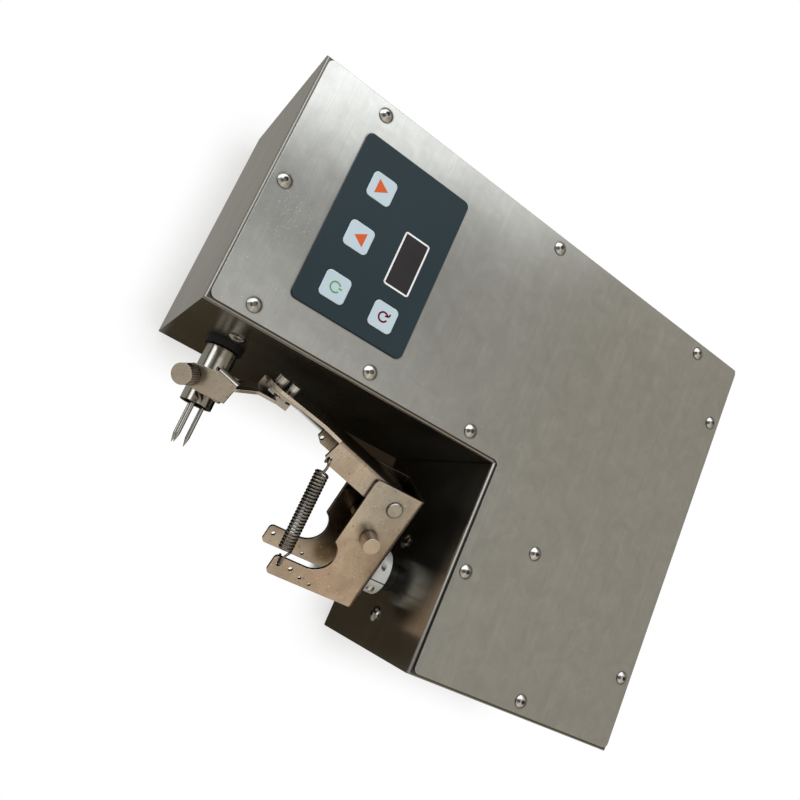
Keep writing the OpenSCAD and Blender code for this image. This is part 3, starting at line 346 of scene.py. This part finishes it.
def brushed(
        name, light, dark, rough, along, edge=0.0005, grain=0.0, metal=1.0, edge_wear_and_highlight=0.5, lined=0.25,
        clouded=1.0, specks=0.0, dust=0.0, grit=190.0, dusty=None, hollow_shade=0.0, stain=None, patches=(),
        seam=None, rim=None):
    """Brushed or satin metal: lines along one axis, cloudy patches, smudges, worn edges with a painted
    highlight, painted shade in corners and hollows.

    dust is how white the grains are, grit how many lie in a metre, and dusty a place where they are
    spilled. seam and rim are heights below which painted shade darkens the metal in a thin line, and
    patches are painted highlights and painted shade round points.
    """
    s = Shader(name)
    lines, streaks = s.strokes(along)
    clouds = s.noise(75, detail=5, rough=0.62, warp=0.7)
    smudge = s.noise(9, detail=4, rough=0.6, warp=0.4)
    normal, edges = s.soft_edge(edge)
    tone = s.mix(s.between(clouds, 1 - clouded, 1), dark, light)
    tone = s.mix(s.between(streaks, 0, lined), tone, dark)
    tone = s.mix(s.between(lines, 0, lined), tone, dark)
    if stain:
        spots = s.noise(34, detail=5, rough=0.62, warp=0.8)
        tone = s.mix(s.between(spots, 0, STAIN_SHADE, *STAIN_SPOTS), tone, stain)
    # Painted highlights and painted shade round given points
    for patch in patches:
        tone = s.patch(tone, *patch)
    bare_and_highlight = tuple(min(1.0, c * BARE_AND_HIGHLIGHT_GAIN) for c in light)
    if specks:
        pits = s.noise(620, detail=2)
        tone = s.mix(s.between(pits, 0, specks, *BRIGHT_PITS), tone, bare_and_highlight)
        tone = s.mix(s.between(pits, specks, 0, *DARK_PITS), tone, PIT_TONE)
    if dust:
        tone = s.mix(s.all_of(s.grit(grit), dust), tone, WHITE)
    if dusty:
        tone = s.mix(s.all_of(s.spill(*dusty), dust), tone, WHITE)
    # Lighter on edges: worn metal and a painted edge highlight
    tone = s.mix(s.all_of(edges, edge_wear_and_highlight), tone, bare_and_highlight)
    # Painted shade in corners and narrow gaps
    tone = s.mix(s.all_of(s.recess(CORNER_REACH), CORNER_SHADE), tone, CORNER_SHADE_TONE)
    # Painted shade deep in hollows and between facing plates
    if hollow_shade:
        tone = s.mix(s.all_of(s.recess(HOLLOW_SHADE_REACH, HOLLOW_SHADE_DEEP, HOLLOW_SHADE_CLEAR), hollow_shade), tone, HOLLOW_SHADE_TONE)
    # Painted shade in a thin line at the top of the shell, under the cover
    if seam:
        seam_line_shade = s.fade(s.parts(s.coord)[2], 0, SEAM_SHADE, seam - SEAM_H, seam - SEAM_H / 3)
        tone = s.mix(seam_line_shade, tone, SEAM_SHADE_TONE)
    # Painted shade on the cover's edge, below its top face
    if rim:
        rim_edge_shade = s.fade(s.parts(s.coord)[2], RIM_SHADE, 0, rim - RIM_FROM, rim - RIM_TO)
        tone = s.mix(rim_edge_shade, tone, RIM_SHADE_TONE)
    s.bump(lines, *LINE_BUMP, normal)
    if grain:
        s.grain(GRAIN_Y if along == 1 else GRAIN_X, grain)
    return s.set(Base_Color=tone, Metallic=metal, Roughness=s.between(smudge, rough * 0.8, rough * 1.2))


def polished(name, light, dark, rough, socket=0.0):
    """Turned or polished metal, small handling marks, painted shade in gaps; socket lifts it from the
    deepest.
    """
    s = Shader(name)
    marks = s.noise(420, rough=0.6)
    smudge = s.noise(60)
    normal, edges = s.soft_edge(POLISH_EDGE)
    tone = s.mix(s.between(smudge, 0, 1), dark, light)
    tone = s.mix(s.all_of(edges, POLISH_WEAR), tone, light)
    # Painted shade in gaps and sockets, lifted again in the deepest spots
    gap_shade = s.recess(SOCKET_REACH)
    if socket:
        shade_lifted = s.all_of(s.recess(SOCKET_REACH, SOCKET_DEEP, SOCKET_CLEAR), socket)
        gap_shade = s.all_of(gap_shade, s.math("SUBTRACT", 1.0, shade_lifted))
    tone = s.mix(gap_shade, tone, SOCKET_SHADE_TONE)
    s.bump(marks, *MARK_BUMP, normal)
    return s.set(Base_Color=tone, Metallic=1.0, Roughness=s.between(marks, rough * 0.7, rough * 1.4))


def plastic(
        name, light, dark, rough, grain=1400.0, depth=0.00003, edge=0.0004, coat=0.0, edge_wear_and_highlight=0.3, gloss=0.5):
    """Moulded or printed plastic, or rubber: fine grain, slow tone changes, worn edges with a painted
    highlight.
    """
    s = Shader(name)
    fine = s.noise(grain, detail=2)
    slow = s.noise(14, detail=4, rough=0.55)
    normal, edges = s.soft_edge(edge)
    tone = s.mix(s.between(slow, 0, 1), dark, light)
    rubbed_and_highlight = tuple(min(1.0, c * RUBBED_HIGHLIGHT_GAIN + RUBBED_HIGHLIGHT_LIFT) for c in light)
    # Lighter on edges: worn plastic and a painted edge highlight
    tone = s.mix(s.all_of(edges, edge_wear_and_highlight), tone, rubbed_and_highlight)
    s.bump(fine, GRAIN_BUMP, depth, normal)
    return s.set(
        Base_Color=tone, Roughness=s.between(slow, rough * 0.85, rough * 1.15), Coat_Weight=coat,
        Specular_IOR_Level=gloss)


# Materials

# Heights of the tops of shell and cover, in metres
SHELL_TOP = (FOOT_H + CASE_H - COVER_T) * MM
COVER_TOP = SHELL_TOP + COVER_T * MM
# Places in metres where the photograph shows the metal lighter, darker or dusty
# Round these points the metal gets painted highlights and painted shade; at COVER_DUST dust is spilled
PLATE_TOP, PLATE_MID = (0.066, -0.032, 0.129), (0.081, -0.041, 0.121)
PLATE_LOW, PLATE_ARM = (0.117, -0.024, 0.104), (0.130, -0.060, 0.097)
COVER_BACK, COVER_FRONT = (-0.150, -0.033, 0.160), (-0.022, -0.185, 0.160)
COVER_DUST = (-0.058, -0.178, 0.160)
WALL_REFLECTION_SHADE = (0.1081, 0.0160, 0.1294)
REAR_END = (0.1076, -0.0304, 0.0630)
HOLDER_ARM = (0.0413, -0.1484, 0.1268)

case_steel = brushed(
    "case_steel", (0.58, 0.565, 0.53), (0.42, 0.405, 0.37), 0.24, along=0, edge=0.0003, grain=0.6, edge_wear_and_highlight=0.1,
    lined=0.7, clouded=0.35, seam=SHELL_TOP, patches=(
        # Painted shade that dims a reflection on the bay's back wall
        (WALL_REFLECTION_SHADE, 0.012, 0.032, (0.62, 0.60, 0.56)),
    ))
cover_steel = brushed(
    "cover_steel", (0.65, 0.644, 0.622), (0.50, 0.495, 0.475), 0.20, along=0, grain=0.75, edge_wear_and_highlight=0.0,
    lined=0.35, clouded=0.8, dust=0.9, dusty=(600.0, COVER_DUST, 0.005, 0.030), rim=COVER_TOP, patches=(
        # Painted highlights on the cover
        (COVER_BACK, 0.006, 0.050, (1.13, 1.14, 1.14)),
        (COVER_FRONT, 0.004, 0.034, (1.11, 1.12, 1.13)),
    ))
satin_steel = brushed(
    "satin_steel", (0.74, 0.635, 0.53), (0.57, 0.485, 0.40), 0.26, along=1, edge_wear_and_highlight=0.9, specks=0.6, dust=0.5,
    grit=330.0, hollow_shade=0.85, stain=(0.34, 0.265, 0.19), patches=(
        # Painted highlights and painted shade on the bracket's plates, and painted shade at the rear arm's
        # end
        (PLATE_TOP, 0.012, 0.030, (0.80, 0.86, 0.92)),
        (PLATE_MID, 0.006, 0.028, (1.15, 1.17, 1.16)),
        (PLATE_LOW, 0.015, 0.045, (1.00, 0.94, 0.90)),
        (PLATE_ARM, 0.010, 0.034, (0.86, 0.82, 0.80)),
        (REAR_END, 0.005, 0.014, (0.42, 0.38, 0.27)),
    ))
holder_steel = brushed(
    "holder_steel", (0.60, 0.545, 0.48), (0.46, 0.415, 0.365), 0.22, along=1, edge_wear_and_highlight=0.9, specks=0.5,
    hollow_shade=0.5, patches=(
        # Painted shade on the holder's arm
        (HOLDER_ARM, 0.004, 0.0085, (0.40, 0.38, 0.34)),
    ))
turned_steel = brushed("turned_steel", (0.56, 0.53, 0.48), (0.43, 0.40, 0.36), 0.22, None, edge=0.0009)
plain_sheet = brushed("plain_sheet", (0.66, 0.66, 0.65), (0.56, 0.56, 0.55), 0.38, along=0)
alloy = brushed("alloy", (0.88, 0.885, 0.88), (0.76, 0.765, 0.76), 0.42, None, edge=0.0004, metal=0.25)
fold_steel = polished("fold_steel", (0.62, 0.58, 0.53), (0.50, 0.465, 0.42), 0.20)
shaft_steel = polished("shaft_steel", (0.56, 0.535, 0.49), (0.46, 0.44, 0.40), 0.11)
bright_steel = polished("bright_steel", (0.66, 0.645, 0.62), (0.48, 0.465, 0.44), 0.17, socket=0.9)
wire_steel = polished("wire_steel", (0.40, 0.37, 0.335), (0.22, 0.20, 0.175), 0.24)
brass = polished("brass", (0.62, 0.45, 0.17), (0.48, 0.34, 0.12), 0.25)
black_rubber = plastic("black_rubber", (0.014, 0.014, 0.015), (0.006, 0.006, 0.006), 0.55)
overlay_film = plastic(
    "overlay_film", (0.015, 0.032, 0.043), (0.010, 0.025, 0.034), 0.50, grain=2400, depth=0.00002,
    edge=0.0005, gloss=0.35)
key_film = plastic(
    "key_film", (0.56, 0.67, 0.76), (0.50, 0.61, 0.70), 0.38, grain=2400, depth=0.00002, edge=0.0007,
    edge_wear_and_highlight=0.8)
window_film = plastic(
    "window_film", (0.020, 0.017, 0.020), (0.013, 0.011, 0.013), 0.16, grain=2400, depth=0.00001,
    edge=0.0003, coat=0.3)
black_plastic = plastic("black_plastic", (0.02, 0.02, 0.022), (0.011, 0.011, 0.012), 0.45)
board_mask = plastic("board_mask", (0.02, 0.12, 0.05), (0.012, 0.08, 0.035), 0.4)
motor_paint = plastic("motor_paint", (0.10, 0.105, 0.11), (0.07, 0.072, 0.078), 0.45, grain=900)
orange_ink = plastic("orange_ink", (0.70, 0.105, 0.013), (0.62, 0.085, 0.010), 0.5)
green_ink = plastic("green_ink", (0.135, 0.46, 0.095), (0.115, 0.40, 0.080), 0.4, gloss=0.3)
crimson_ink = plastic("crimson_ink", (0.19, 0.004, 0.012), (0.15, 0.003, 0.009), 0.5, gloss=0.15)
white_ink = plastic("white_ink", (0.94, 0.95, 0.96), (0.90, 0.91, 0.92), 0.4)

finishes = {
    case_steel: ["housing_shell", "base_plate"],
    cover_steel: ["top_cover"],
    satin_steel: ["swing_bracket", "lever_arm", "stop_pin"],
    holder_steel: ["blade_bracket", "blade_carrier", "thumb_screw"],
    turned_steel: ["pivot_pin", "motor_shaft", "spindle_bearings", "swing_bearings", "cover_post"],
    shaft_steel: ["spindle_shaft", "fork_head", "swing_shaft"],
    bright_steel: [
        "cover_screws", "spindle_wall_screws", "swing_wall_screws", "bracket_screws", "base_screws",
        "foot_screws", "motor_screws", "board_screws", "fork_pins", "peeler_blade", "blade_screws",
        "blade_washers", "blade_nuts", "collar_screws",
    ],
    alloy: ["clamp_collar", "clamp_cap", "spindle_block", "swing_block", "spindle_pulley", "motor_pulley"],
    black_rubber: ["feet", "spindle_ring", "swing_ring", "drive_belt"],
    overlay_film: ["keypad_overlay"],
    key_film: ["up_key", "down_key", "start_key", "reset_key"],
    window_film: ["display_window"],
    black_plastic: ["key_switches", "display_module", "power_inlet"],
    board_mask: ["control_board"],
    brass: ["board_standoffs"],
    motor_paint: ["spindle_motor", "swing_gearmotor"],
    plain_sheet: ["motor_bracket", "gearmotor_stand", "power_supply"],
    wire_steel: ["tension_spring"],
}
for mat, names in finishes.items():
    for name in names:
        mesh = nodes[name].data
        mesh.materials.clear()
        mesh.materials.append(mat)


# Making of pieces

def piece(name, verts, faces, mat, body, slot, smooth=False):
    """A new mesh in the part's frame that rides on a body, or on none."""
    mesh = bpy.data.meshes.new(name)
    mesh.from_pydata([tuple(v) for v in verts], [], faces)
    mesh.update()
    for poly in mesh.polygons:
        poly.use_smooth = smooth
    mesh.materials.append(mat)
    obj = bpy.data.objects.new(name, mesh)
    scene.collection.objects.link(obj)
    if body:
        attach(obj, body)
    return obj


def loft(loops):
    """Vertices and faces of a closed skin through loops with the same number of points."""
    n, last = len(loops[0]), len(loops) - 1
    faces = []
    for i in range(last):
        for k in range(n):
            a, b = i * n + k, i * n + (k + 1) % n
            faces.append([a, b, b + n, a + n])
    faces.append(list(range(n))[::-1])
    faces.append([last * n + k for k in range(n)])
    return [v for loop in loops for v in loop], faces


# Signs on the keys and the line round the window, in millimetres

INK_T, INK_LIFT = 0.06, 0.01
ARC_STEPS, CORNER_STEPS = 40, 6
UP_ARROW = [(-5.0, -3.8), (4.9, -3.8), (-0.1, 4.4)]
DOWN_ARROW = [(0.0, -3.5), (4.7, 4.0), (-4.8, 4.0)]
START_R, START_W, START_FROM, START_TO = 3.3, 1.0, 124, 416
START_LOW, START_HIGH = (-0.3, 2.2), (-0.3, 4.6)
RESET_R, RESET_W, RESET_FROM, RESET_TO = 3.1, 1.2, -240, 72
BARB_LOW, BARB_TIP, BARB_SIDE, BARB_W = (-1.15, 0.9), (-1.75, 3.45), (-3.85, 3.95), 1.1
LINE_OUT, LINE_OUT_R, LINE_IN, LINE_IN_R = 0.6, 1.8, 1.8, 0.8


def printed(name, outlines, at, z, mat, body, slot):
    """Flat printed shapes of the given outlines, on a face at height z above the case's bottom."""
    verts, faces = [], []
    for outline in outlines:
        loops = [[case_point(at[0] + x, at[1] + y, level) for x, y in outline] for level in (z, z + INK_T)]
        points, skin = loft(loops)
        faces += [[len(verts) + i for i in face] for face in skin]
        verts += points
    piece(name, verts, faces, mat, body, slot)


def arc_band(radius, width, start, end):
    """Quads of a ring's sector, from start to end in degrees."""
    quads = []
    outer, inner = radius + width / 2, radius - width / 2
    for i in range(ARC_STEPS):
        a, b = (start + (end - start) * k / ARC_STEPS for k in (i, i + 1))
        quads.append([turned(inner, 0, a), turned(outer, 0, a), turned(outer, 0, b), turned(inner, 0, b)])
    return quads


def bar(p, q, width):
    """A straight stroke from p to q."""
    long = math.hypot(q[0] - p[0], q[1] - p[1])
    ax, ay = (q[0] - p[0]) / long * width / 2, (q[1] - p[1]) / long * width / 2
    return [(p[0] + ay, p[1] - ax), (q[0] + ay, q[1] - ax), (q[0] - ay, q[1] + ax), (p[0] - ay, p[1] + ax)]


def round_rect(w, l, r):
    """Outline of a rectangle with round corners."""
    pts = []
    for cx, cy, start in ((1, 1, 0), (-1, 1, 90), (-1, -1, 180), (1, -1, 270)):
        for k in range(CORNER_STEPS + 1):
            x, y = turned(r, 0, start + 90 * k / CORNER_STEPS)
            pts.append((cx * (w / 2 - r) + x, cy * (l / 2 - r) + y))
    return pts


def key_spot(column, row):
    """Middle of a key, counted from the second key of the front row."""
    return COLUMN_W / 2 + KEY_SHIFT + column * KEY_PITCH, PANEL_Y - KEY_ROW + row * KEY_PITCH


overlay_top = CASE_H + OVERLAY_T + INK_LIFT
key_top = CASE_H + OVERLAY_T + KEY_PROUD + INK_LIFT
power_sign = arc_band(START_R, START_W, START_FROM, START_TO) + [bar(START_LOW, START_HIGH, START_W)]
turn_sign = arc_band(RESET_R, RESET_W, RESET_FROM, RESET_TO) + [
    bar(BARB_LOW, BARB_TIP, BARB_W), bar(BARB_TIP, BARB_SIDE, BARB_W)]
printed("up_mark", [UP_ARROW], key_spot(-1, 0), key_top, orange_ink, "up_button", "key_cap")
printed("down_mark", [DOWN_ARROW], key_spot(0, 0), key_top, orange_ink, "down_button", "key_cap")
printed("start_mark", power_sign, key_spot(1, 0), key_top, green_ink, "start_button", "key_cap")
printed("reset_mark", turn_sign, key_spot(1, 1), key_top, crimson_ink, "reset_button", "key_cap")

window_at = (COLUMN_W / 2 + WINDOW_SHIFT, PANEL_Y - KEY_ROW + KEY_PITCH)
outside = round_rect(WINDOW_W + LINE_OUT, WINDOW_L + LINE_OUT, LINE_OUT_R)
inside = round_rect(WINDOW_W - LINE_IN, WINDOW_L - LINE_IN, LINE_IN_R)
window_line = [[outside[i - 1], outside[i], inside[i], inside[i - 1]] for i in range(len(outside))]
printed("window_line", window_line, window_at, overlay_top, white_ink, "housing", "overlay")


# Tension spring, on the same route as the solid, with finer rings and a slightly thicker wire

WIRE_R = 0.92
HOOK_STEPS, TURN_STEPS, CURL_RINGS, WIRE_SIDES = 24, 14, 22, 12

spring_from = Vector(lever_point(web_p + FLANGE_W - HOOK_EDGE, HOOK_END - CHANNEL_L, lever_h - LEVER_T / 2))
spring_to = Vector((HOOK_A, -HOOK_Y, BRACKET_H - PLATE_T / 2))
run = spring_to - spring_from
axis = run.normalized()
side = Vector((0, 0, 1)).cross(axis).normalized()
lift = axis.cross(side)
coil_from = COIL_R + HOOK_REACH
coil_l = run.length - 2 * coil_from


def coil_point(x, degrees):
    """A point on the coils' cylinder, at a distance along the spring and an angle round it."""
    a, b = turned(COIL_R, 0, degrees)
    return spring_from + axis * x + side * a + lift * b


def hook_point(x, degrees):
    """A point on a hook's circle, which stands in line with the spring round a place along it."""
    a, b = turned(COIL_R, 0, degrees)
    return spring_from + axis * (x + a) + lift * b


def shares(n):
    """The ends of n equal steps from 0 to 1."""
    return [k / n for k in range(1, n + 1)]


def spring_path():
    """The middle of the wire, from the lever's hook along the coils to the arm's hook."""
    sweep, winding = 90 + HOOK_OPEN, 360 * SPRING_TURNS
    path = [hook_point(COIL_R, 180 + HOOK_OPEN - sweep * t) for t in [0, *shares(HOOK_STEPS)]]
    for t in shares(TURN_STEPS):
        path.append(coil_point(COIL_R + HOOK_REACH * (2 * t - t * t), 90 + 90 * t * t))
    for t in shares(int(SPRING_TURNS * CURL_RINGS)):
        path.append(coil_point(coil_from + coil_l * t, 180 + winding * t))
    for t in shares(TURN_STEPS):
        along, degrees = coil_from + coil_l + HOOK_REACH * t * t, 180 + winding + 90 * (2 * t - t * t)
        path.append(coil_point(along, degrees))
    for t in shares(HOOK_STEPS):
        path.append(hook_point(run.length - COIL_R, 90 - sweep * t))
    return path


def wire_rings(points):
    """Rings of points round a wire, each square to it and without twist."""
    rings, last = [], len(points) - 1
    spots = [turned(WIRE_R, 0, 360 * k / WIRE_SIDES) for k in range(WIRE_SIDES)]
    across = (points[1] - points[0]).orthogonal()
    for i, p in enumerate(points):
        way = (points[min(i + 1, last)] - points[max(i - 1, 0)]).normalized()
        across = (across - way * across.dot(way)).normalized()
        other = way.cross(across)
        rings.append([arm_point(p + across * a + other * b) for a, b in spots])
    return rings


spring = piece(
    "spring_wire_coil", *loft(wire_rings(spring_path())), wire_steel, None, "spring_wire", smooth=True)
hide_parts("tension_spring")
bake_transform(spring)


# Rounded fold where the holder plate turns down into its arm

FOLD_S, FOLD_FROM, FOLD_TO, FOLD_R, FOLD_LEG, FOLD_STEPS = 15.0, -15.0, 0.0, 3.0, 1.0, 12


def fold_profile():
    """Outline of the fold in the plane across it, from the plate round to a short leg."""
    skins = []
    for r in (FOLD_R, FOLD_R - HOLDER_T):
        skin = [turned(0, r, 90 * k / FOLD_STEPS) for k in range(FOLD_STEPS + 1)]
        skin.append((-r, -FOLD_LEG))
        skins.append([(FOLD_S + s, z - FOLD_R) for s, z in skin])
    outer, inner = skins
    return outer + inner[::-1]


fold_loops = [[holder_point(s, t, z) for s, z in fold_profile()] for t in (FOLD_FROM, FOLD_TO)]
piece("holder_fold", *loft(fold_loops), fold_steel, "lever", "satin_steel")


# Chamfered end of the pivot pin, as radius and height above the pin

PIN_SIDES = 48
PIN_END = ((5.48, -0.3), (5.48, 0.45), (4.95, 1.1), (4.8, 1.15))

pin_loops = []
for radius, height in PIN_END:
    ring = [turned(radius, 0, 360 * k / PIN_SIDES) for k in range(PIN_SIDES)]
    z = BRACKET_H + PIVOT_PROUD + height
    pin_loops.append([arm_point((a - PIVOT_A, y - PIVOT_Y, z)) for a, y in ring])
piece("pivot_end", *loft(pin_loops), turned_steel, "swing_arm", "satin_steel")


# Floor, with the start and the end of each soft edge in metres

FLOOR_HALF = 4.0
CONTACT_REACH, CONTACT_DEEP, CONTACT_CLEAR, CONTACT_SHADE = 0.035, 0.45, 0.98, 0.45
BAY_LEFT, BAY_RIGHT = (-0.014, -0.002), (0.16, 0.22)
BAY_FRONT, BAY_BACK = (-0.206, -0.192), (0.03, 0.06)
COLUMN_SHADE, COLUMN_FRONT = (0.006, 0.010), (-0.165, -0.138)
WALL_SHADE, WALL_RIGHT = (-0.015, -0.006), (0.112, 0.140)
UNDER_LEFT, UNDER_BACK = (-0.156, -0.144), (0.184, 0.196)
UNDER_COLUMN, UNDER_FRONT = (-0.007, 0.005), (-0.196, -0.184)
UNDER_RIGHT, UNDER_WALL = (0.144, 0.156), (0.020, 0.032)
# Low and high value, and where they start and end
SHADE_WIDENS, SHADE_BULGES = (0.0, 0.028, -0.09, 0.02), (0.006, 0.0, -0.118, -0.105)
GLOW_RIGHT, GLOW_FRONT = (0.004, 0.05, 0.08, 0.12), (0.05, 0.0, -0.19, -0.08)
CONTACT_TONE, SHADE_TONE = (0.32, 0.30, 0.28), (0.020, 0.014, 0.009)
MIRROR_TONE, GLOW_TONE = (0.36, 0.35, 0.32), (1.0, 0.78, 0.47)
FLOOR_DARK, FLOOR_LIGHT = (0.50, 0.47, 0.42), (0.54, 0.51, 0.46)


def stage_floor():
    """A white floor with the part's shade painted in the bay, warm grey in metal with painted shade and
    glow.
    """
    h = FLOOR_HALF
    mesh = bpy.data.meshes.new("floor")
    mesh.from_pydata([(-h, -h, 0), (h, -h, 0), (h, h, 0), (-h, h, 0)], [], [(0, 1, 2, 3)])
    obj = bpy.data.objects.new("floor", mesh)
    scene.collection.objects.link(obj)
    s = Shader("floor")
    x, y, _ = s.parts(s.coord)

    # What the camera sees: white, with painted shade in the bay and under the case, and a painted contact
    # shadow
    in_bay = s.all_of(
        s.rise(x, *BAY_LEFT), s.rise(y, *BAY_FRONT), s.fall(x, *BAY_RIGHT), s.fall(y, *BAY_BACK))
    width = s.math("ADD", s.between(y, *SHADE_WIDENS), s.fade(y, *SHADE_BULGES))
    by_column = s.all_of(s.fall(s.math("SUBTRACT", x, width), *COLUMN_SHADE), s.rise(y, *COLUMN_FRONT))
    by_wall = s.all_of(s.rise(y, *WALL_SHADE), s.fall(x, *WALL_RIGHT))
    under_column = s.all_of(s.fall(x, *UNDER_COLUMN), s.rise(y, *UNDER_FRONT))
    under_rear = s.all_of(s.fall(x, *UNDER_RIGHT), s.rise(y, *UNDER_WALL))
    under = s.all_of(s.rise(x, *UNDER_LEFT), s.fall(y, *UNDER_BACK), s.any_of(under_column, under_rear))
    shade = s.any_of(s.all_of(s.any_of(by_column, by_wall), in_bay), under)
    contact = s.all_of(s.recess(CONTACT_REACH, CONTACT_DEEP, CONTACT_CLEAR), CONTACT_SHADE)
    seen = s.mix(shade, s.mix(contact, WHITE, CONTACT_TONE), SHADE_TONE)

    # What metal mirrors: warm grey, with painted shade in the bay and a painted warm glow towards its open
    # sides
    level = s.math("ADD", s.fade(x, *GLOW_RIGHT), s.fade(y, *GLOW_FRONT))
    mirrored = s.mix(in_bay, MIRROR_TONE, s.mix(level, BLACK, GLOW_TONE))

    # The glow for both of these, and a plain grey surface for the rest of the light
    paths = s.add("ShaderNodeLightPath")
    glow = s.add("ShaderNodeEmission")
    s.join(s.mix(paths.outputs["Is Camera Ray"], mirrored, seen), glow.inputs["Color"])
    speck = s.noise(3, detail=2)
    s.set(Base_Color=s.mix(s.between(speck, 0, 1), FLOOR_DARK, FLOOR_LIGHT), Roughness=0.8)
    shown = s.any_of(*(paths.outputs[f"Is {kind} Ray"] for kind in ("Camera", "Glossy", "Transmission")))
    mixer = s.add("ShaderNodeMixShader")
    s.join(shown, mixer.inputs["Fac"])
    s.join(s.bsdf.outputs["BSDF"], mixer.inputs[1])
    s.join(glow.outputs["Emission"], mixer.inputs[2])
    s.join(mixer.outputs["Shader"], s.tree.nodes["Material Output"].inputs["Surface"])
    mesh.materials.append(s.mat)


stage_floor()


# World, seen as a ceiling: lean is to the left and depth to the back, both over height

LOWEST, LEFT_SLANT = 0.08, 0.19
LEFT_EDGE, LEFT_DIMS = (0.49, 0.595), (1.0, 0.05, 0.1, 0.75)
FRONT_BACK, FRONT_LEFT, FRONT_FRONT = (0.10, 0.60), (0.20, 0.45), (-0.45, -0.05)
RIGHT_EDGE, ROOM_BACK, HORIZON = (0.15, 0.50), (0.2, 0.8), (0.08, 0.42)
CAMERA_WAY, CAMERA_SPREAD = (0.10, -0.38, 0.92), (0.90, 0.97)
ROOM_FRONT_TONE, ROOM_BACK_TONE = (0.38, 0.385, 0.375), (0.41, 0.385, 0.325)
RIGHT_TONE, FRONT_TONE, LEFT_TONE = (0.66, 0.59, 0.48), (0.84, 0.84, 0.80), (2.05, 2.12, 2.14)
CAMERA_TONE, HORIZON_TONE = (0.10, 0.085, 0.07), (0.07, 0.052, 0.034)


def studio_world():
    """A warm grey room with a bright panel on the left, a soft one in front and a dim one on the right."""
    world = bpy.data.worlds.new("studio")
    scene.world = world
    world.use_nodes = True
    world.node_tree.nodes.clear()
    s = Nodes(world.node_tree, "Generated")
    x, y, z = s.parts(s.coord)
    height = s.any_of(z, LOWEST)
    lean = s.math("DIVIDE", s.all_of(x, -1.0), height)
    depth = s.math("DIVIDE", y, height)
    left = s.rise(s.math("SUBTRACT", lean, s.all_of(depth, LEFT_SLANT)), *LEFT_EDGE)
    left = s.all_of(left, s.between(depth, *LEFT_DIMS))
    front = s.all_of(s.fall(depth, *FRONT_BACK), s.fall(lean, *FRONT_LEFT), s.rise(depth, *FRONT_FRONT))
    toward = s.add("ShaderNodeVectorMath", operation="DOT_PRODUCT")
    toward.inputs[1].default_value = CAMERA_WAY
    s.join(s.coord, toward.inputs[0])
    tone = s.mix(s.rise(depth, *ROOM_BACK), ROOM_FRONT_TONE, ROOM_BACK_TONE)
    tone = s.mix(s.rise(x, *RIGHT_EDGE), tone, RIGHT_TONE)
    tone = s.mix(front, tone, FRONT_TONE)
    tone = s.mix(left, tone, LEFT_TONE)
    tone = s.mix(s.rise(toward.outputs["Value"], *CAMERA_SPREAD), tone, CAMERA_TONE)
    tone = s.mix(s.fall(z, *HORIZON), tone, HORIZON_TONE)
    paths = s.add("ShaderNodeLightPath")
    room = s.add("ShaderNodeBackground")
    s.join(s.mix(paths.outputs["Is Camera Ray"], tone, WHITE), room.inputs["Color"])
    out = s.add("ShaderNodeOutputWorld")
    s.join(room.outputs["Background"], out.inputs["Surface"])


studio_world()


# Lights

def softbox(name, at, aim, size, power, colour=WHITE):
    """A flat lamp at a place, turned to a point, that metal doesn't mirror."""
    data = bpy.data.lights.new(name, "AREA")
    data.shape = "RECTANGLE"
    data.size, data.size_y = size
    data.energy = power
    data.color = colour
    obj = bpy.data.objects.new(name, data)
    obj.location = at
    obj.rotation_euler = (Vector(aim) - Vector(at)).to_track_quat("-Z", "Y").to_euler()
    obj.visible_glossy = False
    scene.collection.objects.link(obj)


softbox("key_light", at=(-1.1, -0.35, 1.5), aim=(-0.05, -0.05, 0.1), size=(0.8, 0.9), power=6.5)
softbox(
    "fill_light", at=(0.9, -1.2, 1.3), aim=(0.05, -0.05, 0.1), size=(0.7, 0.7), power=3.5,
    colour=(1.0, 0.95, 0.88))

scene.view_settings.view_transform = "Standard"
